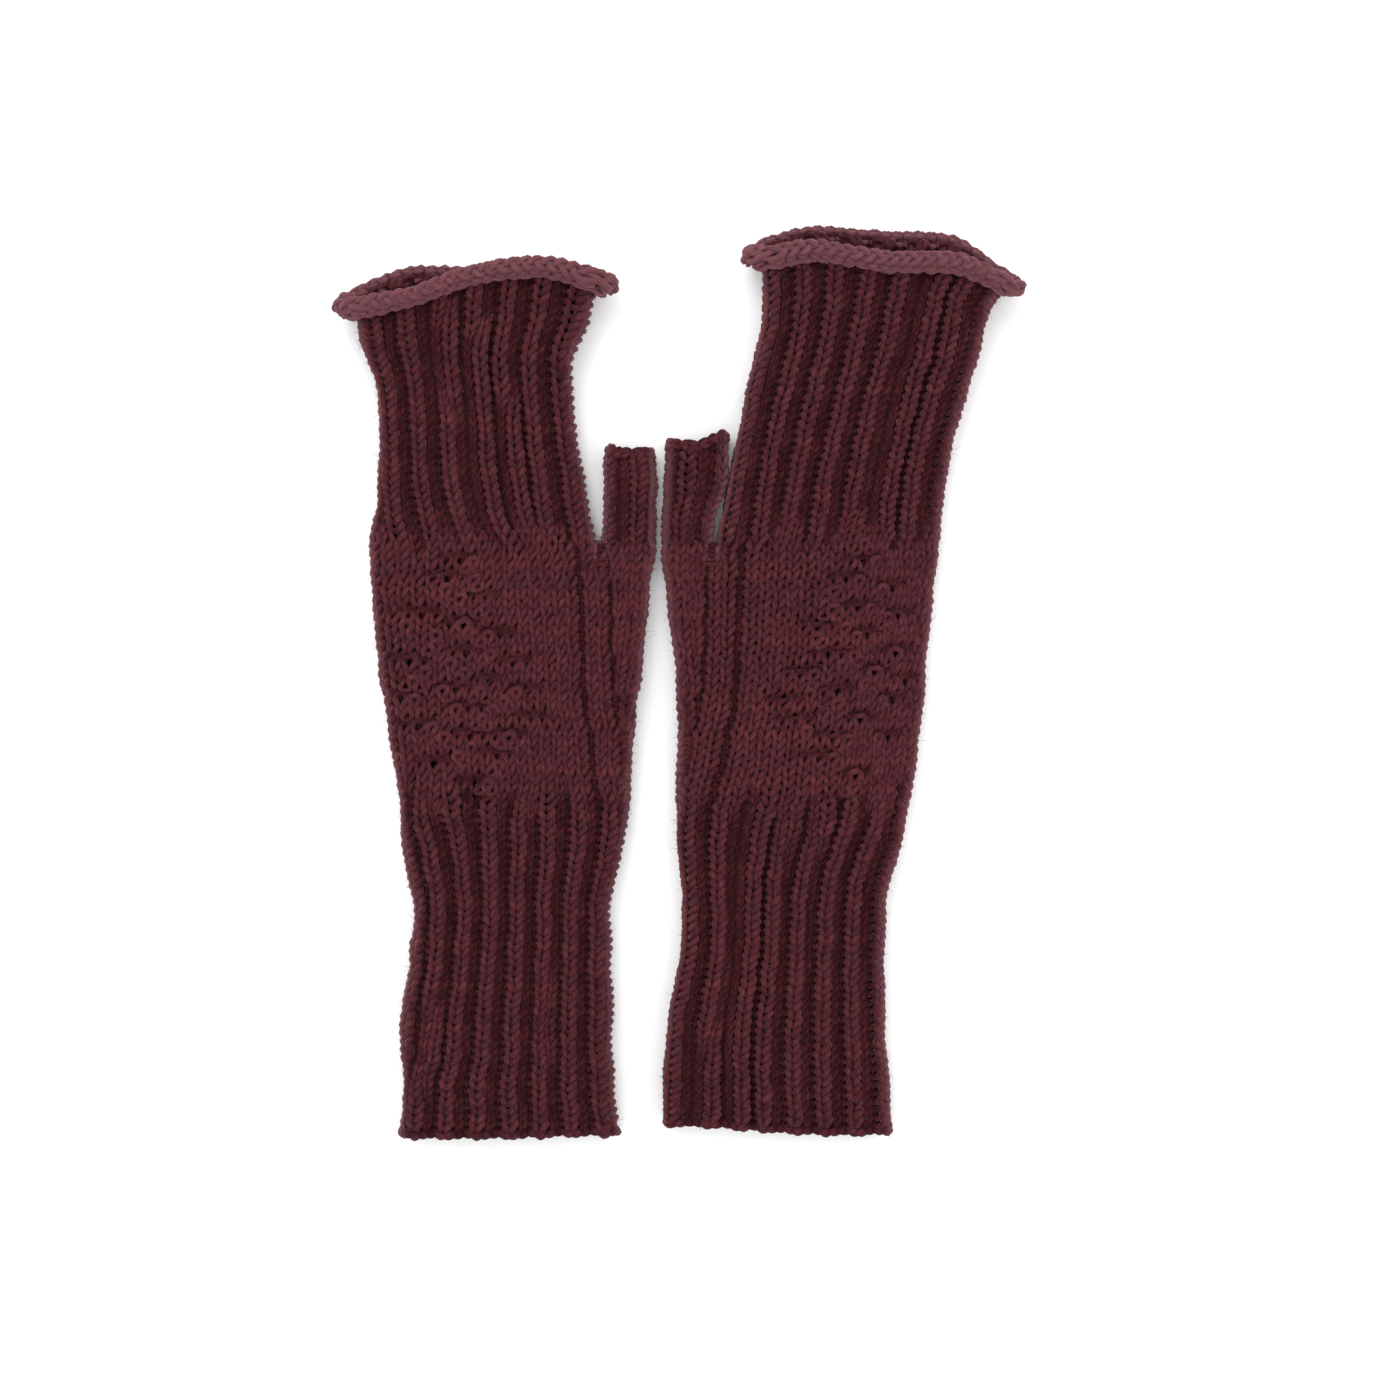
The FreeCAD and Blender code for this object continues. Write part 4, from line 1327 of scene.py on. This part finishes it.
@dataclass
class SubAssembly:
    """What all sections of a mitt share: its form, its pattern and the skeins that its yarn goes into."""

    form: MittForm
    pattern: Pattern
    skeins: dict
    yarn: bpy.types.Material

    def row_height(self, along: float) -> float:
        """The height of a course: lower in the ribs than in the plain hand."""
        rib = float(self.pattern.ribbed(along))
        return rib * self.pattern.rib_row + (1 - rib) * self.pattern.plain_row

    def chain(
        self,
        fabric: Fabric,
        braid: Braid,
        part: Part,
        half: float,
        along: float,
        depth: float,
        follow: Optional[tuple] = None,
    ) -> None:
        """Lays a braid round the tube, as a cast-on or bound-off edge.

        Args:
            fabric: The fabric whose edge it is.
            braid: How its strands are plaited.
            part: The piece that it belongs to.
            half: Half of the way round.
            along: The edge's place.
            depth: How far out of the fabric it lies.
            follow: The ribs' middles, and how far out of the fabric and along it the edge moves at each.
        """
        turns = max(round(2 * half / braid.pitch), 1)
        pitch = 2 * half / turns
        around = np.linspace(-half, half, turns * braid.samples + 1)
        sink, rise = (np.interp(around, follow[0], move) for move in follow[1:]) if follow else (0.0, 0.0)
        for phase in 2 * np.pi * np.arange(braid.strands) / braid.strands:
            across, out = braid.strand(around + half, pitch, phase)
            fabric.strand(around, along + across + rise, depth + out + sink, braid.radius, part)

    def dress(self, part: Part) -> bpy.types.Object:
        """Turns one skein into a piece that stands for its node, with the yarn's material.

        Args:
            part: Which piece.

        Returns:
            The piece.
        """
        node = self.form.node(part.name.lower())
        mesh = self.skeins[part.value].mesh(node + "_yarn")
        mesh.materials.append(self.yarn)
        piece = bpy.data.objects.new(node + "_yarn", mesh)
        bpy.context.scene.collection.objects.link(piece)
        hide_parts(node)
        log.info("%s: %d triangles", piece.name, 2 * len(mesh.polygons))
        return piece

    def ride(self, part: Part, body: str) -> None:
        """Dresses a piece and lets it move with a body."""
        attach(self.dress(part), f"{self.form.side.label}_{body}")

    def bend(self, part: Part, first: str, second: str, start: float, end: float) -> None:
        """Dresses a piece and bakes its place into its mesh; it is not attached to a body and does not bend.
        """
        first, second = (f"{self.form.side.label}_{body}" for body in (first, second))
        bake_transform(self.dress(part))


@dataclass
class Cuff(SubAssembly):
    """The cast-on edge and the ribbed cuff below the wrist."""

    bend_reach: float = 18 * MM
    cast_on: Braid = Braid(pitch=6.6 * MM, radius=1.2 * MM, swing=0.6 * MM, lift=0.7 * MM)
    edge_inset: float = 1.6 * MM  # from the mitt's end to the braid's middle

    def knit(self, fabric: Fabric, low: float, high: float) -> None:
        """Works one course of the cuff."""
        edge = low < self.form.low("cuff_rib") - 0.3 * MM
        part = Part.CAST_ON_EDGE if edge else Part.CUFF_RIB
        fabric.course(self.pattern.columns_at(low, high, False, part), low, high)

    def edge(self, fabric: Fabric) -> None:
        """Lays the cast-on edge's two strands, which follow the ribs in and out."""
        start = self.form.start + self.edge_inset
        half = float(self.form.hand.half(start))
        _, _, depths, edges = self.pattern.edges(start, False)
        middles = (edges[1:] + edges[:-1]) / 2
        follow = (middles, 0.8 * depths, np.abs(depths) * 0.5 - 0.6 * MM)
        self.chain(fabric, self.cast_on, Part.CAST_ON_EDGE, half, start, 0.0, follow)

    def place(self) -> None:
        """Dresses the cuff's pieces; the cast-on edge moves with the cuff."""
        self.ride(Part.CAST_ON_EDGE, "cuff")
        wrist = self.form.wrist
        self.bend(Part.CUFF_RIB, "hand", "cuff", wrist + self.bend_reach, wrist - self.bend_reach)


@dataclass
class Hand(SubAssembly):
    """The wrist ribbing, the plain hand, the gusset and the lace diamond."""

    bend_reach: float = 18 * MM
    chart: tuple = ()
    hole_radius: float = 1.6 * MM
    dip: float = 1.5 * MM  # how far the stitches beside a hole sink
    bump: float = 1.2 * MM  # how proud a purl stands
    purl_sign: float = -0.3  # a purl's loops lie nearly level

    def half_width(self, along: float) -> float:
        """Half of the diamond's width, read from its node."""
        form = self.form
        if not form.motif_low < along < form.motif_high:
            return 0.0
        low, high = slice_of(form.node("diamond_motif"), along)
        return float(high[0] - low[0]) / 2

    def knit(self, fabric: Fabric, low: float, high: float) -> None:
        """Works one course of the wrist ribbing or of the hand, with its lace and its gusset."""
        middle = (low + high) / 2
        if middle < self.form.palm:
            columns = self.pattern.columns_at(low, high, False, Part.WRIST_RIB)
        else:
            columns = self.pattern.columns_at(low, high, False, Part.HAND_TUBE)
            columns.piece[columns.name > 50] = Part.THUMB_GUSSET.value
            centre = int(np.flatnonzero(columns.name == self.pattern.motif_column)[0])
            self.mark_motif(columns, centre, self.half_width(middle))
            row = math.floor((low - self.form.motif_low + 0.5 * MM) / self.pattern.plain_row)
            if 0 <= row < len(self.chart):
                self.follow_chart(fabric, columns, centre, self.chart[row], middle)
        fabric.course(columns, low, high)

    def mark_motif(self, columns: Columns, centre: int, reach: float) -> None:
        """Gives the diamond the stitches on both sides of its middle column.

        Args:
            columns: The course.
            centre: The middle column's place in it.
            reach: Half of the diamond's width here.
        """
        if reach <= 0:
            return
        stitch = float(columns.edges_low[centre + 1] - columns.edges_low[centre])
        offset = np.abs(np.arange(len(columns.name)) - centre)
        columns.piece[offset <= round(reach / stitch - 0.3)] = Part.DIAMOND_MOTIF.value

    def follow_chart(self, fabric: Fabric, columns: Columns, centre: int, line: str, along: float) -> None:
        """Works one line of the lace chart.

        Args:
            fabric: The fabric that gets the holes.
            columns: The course.
            centre: The middle column's place in it.
            line: The chart's line for this course.
            along: The course's middle.
        """
        edges = columns.edges_low
        for column, mark in enumerate(line, centre - len(line) // 2):
            if mark == "-":
                columns.sign[column] = self.purl_sign
                columns.depth[column] += self.bump
            if mark == "o":
                around = (edges[column] + edges[column + 1]) / 2
                columns.depth[column - 1 : column + 2] -= self.dip
                fabric.holes.append((around, along, self.hole_radius))

    def place(self) -> None:
        """Dresses the hand's pieces; the hand's tube, the diamond and the gusset move with the hand."""
        wrist = self.form.wrist
        self.bend(Part.WRIST_RIB, "hand", "cuff", wrist + self.bend_reach, wrist - self.bend_reach)
        for part in (Part.HAND_TUBE, Part.DIAMOND_MOTIF, Part.THUMB_GUSSET):
            self.ride(part, "hand")


@dataclass
class Fingers(SubAssembly):
    """The ribbing over the knuckles, the finger ribbing and the rolled rim."""

    bend_reach: float = 18 * MM
    roll_turn: float = 4.5  # radians of fabric in the roll
    crest_turn: float = 2.75  # where the plait lies, in radians
    roll_row: float = 2.9 * MM
    crest: Braid = Braid(pitch=13.2 * MM, radius=1.1 * MM, swing=1.5 * MM, lift=0.7 * MM, strands=3)
    lower: Braid = Braid(pitch=9.6 * MM, radius=1.15 * MM, swing=0.4 * MM, lift=0.35 * MM)

    def knit(self, fabric: Fabric) -> None:
        """Works the courses from the crotch up to the end of the roll."""
        form = self.form
        for low, high in courses(form.crotch, form.rim.end, self.row_height):
            part = Part.KNUCKLE_RIB if (low + high) / 2 < form.knuckle else Part.FINGER_RIB
            fabric.course(self.pattern.columns_at(low, high, True, part), low, high)
        for low, high in courses(form.rim.end, self.past(self.roll_turn), lambda _: self.roll_row):
            fabric.course(self.pattern.columns_at(low, high, True, Part.ROLLED_RIM), low, high)

    def past(self, turn: float) -> float:
        """The place, along, that is the given angle into the roll."""
        return self.form.rim.end + turn * self.form.rim.radius

    def edge(self, fabric: Fabric) -> None:
        """Lays the pair of strands at the roll's lower edge, and the plait of bound-off stitches along it."""
        half = float(self.form.fingers.half(self.form.rim.end))
        self.chain(fabric, self.lower, Part.ROLLED_RIM, half, self.past(self.roll_turn), -0.4 * MM)
        self.chain(fabric, self.crest, Part.ROLLED_RIM, half, self.past(self.crest_turn), -0.9 * MM)

    def place(self) -> None:
        """Dresses the finger pieces; the rolled rim moves with the fingers."""
        knuckle = self.form.knuckle
        for part in (Part.KNUCKLE_RIB, Part.FINGER_RIB):
            self.bend(part, "hand", "fingers", knuckle - self.bend_reach, knuckle + self.bend_reach)
        self.ride(Part.ROLLED_RIM, "fingers")


@dataclass
class Thumb(SubAssembly):
    """The thumb: its root, its ribbed tube and its bound-off edge."""

    stitches: int = 12
    row: float = 3.05 * MM
    bend_reach: float = 9 * MM
    bind_off: Braid = Braid(pitch=7.0 * MM, radius=1.05 * MM)
    web_lines: int = 5  # of stitches across the crotch, on each of three levels
    web_points: int = 12
    web_radius: float = 1.1 * MM

    def edges(self, along: float) -> tuple[np.ndarray, np.ndarray, np.ndarray, np.ndarray]:
        """The thumb's columns: numbers, signs, depths and edges, two knits and a purl four times round."""
        number = np.arange(self.stitches)
        pattern = self.pattern
        place = (number + 2) % pattern.purl_every
        strong_depth, weak_depth, purl_depth = pattern.rib_depth
        share = np.array([pattern.purl, pattern.strong, pattern.weak])[place]
        sign = np.where(place == 0, -1.0, 1.0)
        depth = np.array([purl_depth, strong_depth, weak_depth])[place]
        half = float(self.form.thumb.half(along))
        edges = -half + 2 * half * np.concatenate([[0.0], np.cumsum(share) / share.sum()])
        return number, sign, 0.6 * depth - 0.4 * MM, edges

    def knit(self, fabric: Fabric) -> None:
        """Works the thumb's courses."""
        form = self.form
        for low, high in courses(form.crotch, form.thumb_end - 1.2 * MM, lambda _: self.row):
            middle = (low + high) / 2
            part = Part.THUMB_ROOT if middle < form.thumb_fold else Part.THUMB_RIB
            if middle > form.thumb_edge:
                part = Part.THUMB_BIND_OFF
            number, sign, depth, edges_low = self.edges(low)
            edges_high = self.edges(high)[3]
            piece = np.full(self.stitches, part.value)
            fabric.course(Columns(number, sign, depth, edges_low, edges_high, piece), low, high)

    def edge(self, fabric: Fabric) -> None:
        """Lays the chain that binds off the thumb."""
        along = self.form.thumb_end - 1.0 * MM
        half = float(self.form.thumb.half(along))
        self.chain(fabric, self.bind_off, Part.THUMB_BIND_OFF, half, along, 0.2 * MM)

    def web(self) -> None:
        """Lays the stitches picked up across the crotch, between the fingers' tube and the thumb's.

        Each runs from one tube's edge to the other's, t from 0 to 1. It sags by 0.7 mm x sin(pi t) along the
        mitt and waves by 0.5 mm x sin(2 pi t + line) up and down.
        """
        form = self.form
        count = self.web_points
        t = np.linspace(0, 1, count)
        start = float(form.fingers.thumb_edge(form.crotch)) - form.out * 3.5 * MM
        end = float(form.thumb.far_edge(form.crotch)) + form.out * 3.5 * MM
        level = float(form.thumb.top(form.crotch) + form.thumb.bottom(form.crotch)) / 2
        radius, depth = np.full(count, self.web_radius), np.full(count, -0.2 * MM)
        for line in range(self.web_lines):
            along = form.crotch + (0.6 - 1.7 * line) * MM - 0.7 * MM * np.sin(np.pi * t)
            dye = np.full(count, 0.3 + 0.1 * line)
            for up in (-1.0, 0.0, 1.0):
                height = level + up * (1.3 + 0.55 * line) * MM + 0.5 * MM * np.sin(2 * np.pi * t + line)
                points = np.stack([start + (end - start) * t, along, height], 1)
                outward = np.tile(np.array([0.0, 0.0, 1.0 if up >= 0 else -1.0]), (count, 1))
                self.skeins[Part.THUMB_GUSSET.value].lay(Run(points, outward, radius, dye, depth))

    def place(self) -> None:
        """Dresses the thumb's pieces; the bound-off edge moves with the thumb."""
        fold = self.form.thumb_fold
        for part in (Part.THUMB_ROOT, Part.THUMB_RIB):
            self.bend(part, "hand", "thumb", fold - self.bend_reach, fold + self.bend_reach)
        self.ride(Part.THUMB_BIND_OFF, "thumb")


@dataclass
class Tails(SubAssembly):
    """The yarn ends, woven in along the inside."""

    radius: float = 0.95 * MM
    wave: float = 0.15 * MM
    pitch: float = 7 * MM

    def weave(self, part: Part) -> None:
        """Lays one yarn end along its node's middle line, with a small wave.

        Args:
            part: Which yarn end.
        """
        near, far = ends_of(self.form.node(part.name.lower()))
        steps = np.linspace(0, 1, 60)[:, None]
        points = near + (far - near) * steps
        travel = steps[:, 0] * np.linalg.norm(far - near)
        points[:, 0] += self.wave * np.sin(2 * np.pi * travel / self.pitch)
        points[:, 2] += self.wave * np.cos(2 * np.pi * travel / self.pitch)
        outward = np.tile(np.array([0.0, 0.0, 1.0]), (len(points), 1))
        radius = np.full(len(points), self.radius)
        middling = np.full(len(points), 0.5)
        self.skeins[part.value].lay(Run(points, outward, radius, middling, 0 * middling))

    def place(self) -> None:
        """Weaves and dresses the three yarn ends."""
        bodies = {Part.CAST_ON_TAIL: "cuff", Part.BIND_OFF_TAIL: "fingers", Part.THUMB_TAIL: "thumb"}
        for part, body in bodies.items():
            self.weave(part)
            self.ride(part, body)


# The lace, one line for each course from the bottom up, far side first: o is a yarn-over hole, - a purl.
LEFT_CHART = (
    "     o     ",
    "    -      ",
    "     o-    ",
    "   -       ",
    "      - o  ",
    "   o -     ",
    "  -    -   ",
    "  o  o  -  ",
    "    -    o ",
    "o  -  -    ",
    "  -  o   - ",
    " -  -  -  o",
    "o     o  - ",
    "  -o -  -  ",
    "      -    ",
    " o -     o ",
    "    -o -   ",
    "   -   -   ",
    "  o  -   - ",
    "     o     ",
    "   -    o  ",
    "     -     ",
    "   o  -    ",
    "    -      ",
    "      o    ",
    "    -      ",
    "     o     ",
)
RIGHT_CHART = (
    "     o     ",
    "      -    ",
    "     -o    ",
    "    -      ",
    "   o   -   ",
    "     -  -  ",
    "  - o    o ",
    "      -    ",
    " o -  o   -",
    "    -   -  ",
    "o -    - o ",
    "    o -    ",
    "  -    -  o",
    " o  -  o   ",
    "     -   - ",
    "   o    -o ",
    "  -  -     ",
    "    - o -  ",
    "  o     -  ",
    "   -  -  o ",
    "     o     ",
    "   -   -   ",
    "     -  o  ",
    "    o      ",
    "      -    ",
    "     o     ",
    "     -     ",
)


LEFT_LIE = Lie(
    rim_front=(-4.0, 0.0, 6.5, 8.5, 2.0),
    rim_back=(2.0, 8.5, 7.0, 7.0, 1.0),
    hem=(0.0, 0.0, 0.0, 0.6, 1.0),
    tip=(2.0, -1.6, -1.8, -1.2, -0.6),
    flare=1.6 * MM,
    neck=-0.8 * MM,
    belly=0.0,
    lean_over=0.9 * MM,
)
RIGHT_LIE = Lie(
    rim_front=(-1.0, 5.0, 3.0, 4.0, -2.0),
    rim_back=(0.0, 11.0, 9.5, 8.5, 0.0),
    hem=(0.3, 0.0, 1.0, 2.6, 3.6),
    tip=(5.5, 3.5, 1.0, 1.6, 3.0),
    flare=0.4 * MM,
    neck=2.4 * MM,
    belly=2.6 * MM,
    lean_over=0.4 * MM,
)


@dataclass
class Mitt:
    """One whole mitt."""

    side: Side
    yarn: bpy.types.Material
    dropped: tuple  # purl columns of the upper layer that end where the plain hand starts
    chart: tuple
    lie: Lie

    def build(self) -> None:
        """Knits the mitt from the cuff up, then the thumb, and dresses every piece."""
        form = MittForm(self.side, self.lie)
        pattern = Pattern(form, dropped=self.dropped)
        skeins = {part.value: Skein() for part in Part}
        # the rolled rim gets nearly the full pale lint colour all over
        skeins[Part.ROLLED_RIM.value] = Skein(fuzz_and_glow=0.95)
        shared = (form, pattern, skeins, self.yarn)
        cuff, fingers, thumb = Cuff(*shared), Fingers(*shared), Thumb(*shared)
        hand = Hand(*shared, chart=self.chart)
        seed = 100 if self.side is Side.LEFT else 200
        loops = Loops()

        palm = Fabric(form.on_hand, form.out, loops, seed, skeins)
        for low, high in courses(form.start + 2.6 * MM, form.crotch, cuff.row_height):
            section = cuff if (low + high) / 2 < form.wrist else hand
            section.knit(palm, low, high)
        palm.finish()
        cuff.edge(palm)

        above = Fabric(form.on_fingers, form.out, loops, seed + 10, skeins)
        fingers.knit(above)
        above.finish()
        fingers.edge(above)

        tip = Fabric(form.on_thumb, form.out, loops, seed + 20, skeins, fibre_length=1.2 * MM)
        thumb.knit(tip)
        tip.finish()
        thumb.edge(tip)
        thumb.web()

        for section in (cuff, hand, fingers, thumb, Tails(*shared)):
            section.place()
        log.info("%s mitt finished", self.side.label)


# ---------------------------------------------------------------------------------------------------------
# The studio
# ---------------------------------------------------------------------------------------------------------


@dataclass(frozen=True)
class Studio:
    """A white table, soft light from all round and a camera that looks straight down."""

    picture_width: float = 495 * MM  # what the camera sees at the mitts' height
    middle: tuple = (2.8 * MM, -2.3 * MM)
    height: float = 12 * MM  # of the mitts' upper layer
    lens: float = 60.0
    sensor: float = 36.0
    table: float = 6.0
    sky: float = 1.35

    def lay_table(self) -> None:
        """Makes the table from a grid: a level square just below the mitts."""
        count = 13
        steps = np.linspace(-self.table / 2, self.table / 2, count)
        x, y = np.meshgrid(steps, steps)
        corners = np.stack([x.ravel(), y.ravel(), np.full(x.size, -0.3 * MM)], 1)
        i = (np.arange(count - 1)[:, None] * count + np.arange(count - 1)).ravel()
        faces = np.stack([i, i + 1, i + count + 1, i + count], 1)
        mesh = bpy.data.meshes.new("table")
        mesh.from_pydata(corners.tolist(), [], faces.tolist())
        mesh.materials.append(PlainSurface().material())
        table = bpy.data.objects.new("table", mesh)
        bpy.context.scene.collection.objects.link(table)

    def lamp(self, name: str, place: tuple, size: float, power: float) -> None:
        """Hangs one square soft lamp that faces the mitts."""
        light = bpy.data.lights.new(name, "AREA")
        light.shape, light.size, light.energy = "SQUARE", size, power
        lamp = bpy.data.objects.new(name, light)
        bpy.context.scene.collection.objects.link(lamp)
        lamp.location = place
        lamp.rotation_euler = (-Vector(place)).to_track_quat("-Z", "Y").to_euler()

    def light(self) -> None:
        """Sets an even white sky and two soft lamps."""
        world = bpy.data.worlds.new("sky")
        world.use_nodes = True
        background = world.node_tree.nodes["Background"]
        background.inputs["Color"].default_value = (1.0, 1.0, 1.0, 1.0)
        background.inputs["Strength"].default_value = self.sky
        scene = bpy.context.scene
        scene.world = world
        scene.view_settings.view_transform = "Standard"
        self.lamp("key", (-0.45, 0.75, 1.1), size=0.8, power=6.0)
        self.lamp("fill", (0.9, -0.3, 0.9), size=1.0, power=2.0)

    def stand_camera(self) -> None:
        """Hangs the camera over the pair, at the height that gives the picture's width."""
        camera = bpy.data.cameras.new("camera")
        camera.lens, camera.sensor_width = self.lens, self.sensor
        holder = bpy.data.objects.new("camera", camera)
        bpy.context.scene.collection.objects.link(holder)
        away = self.picture_width * self.lens / self.sensor
        holder.location = (*self.middle, self.height + away)
        bpy.context.scene.camera = holder


def main() -> None:
    """Builds the studio and both mitts, in order."""
    studio = Studio()
    studio.stand_camera()
    studio.lay_table()
    studio.light()
    yarn = WoolYarn().material()
    Mitt(Side.LEFT, yarn, (6, 9, 18), LEFT_CHART, LEFT_LIE).build()
    Mitt(Side.RIGHT, yarn, (6, 9, 12), RIGHT_CHART, RIGHT_LIE).build()


if __name__ == "__main__":
    logging.basicConfig(level=logging.INFO, format="%(message)s")
    main()
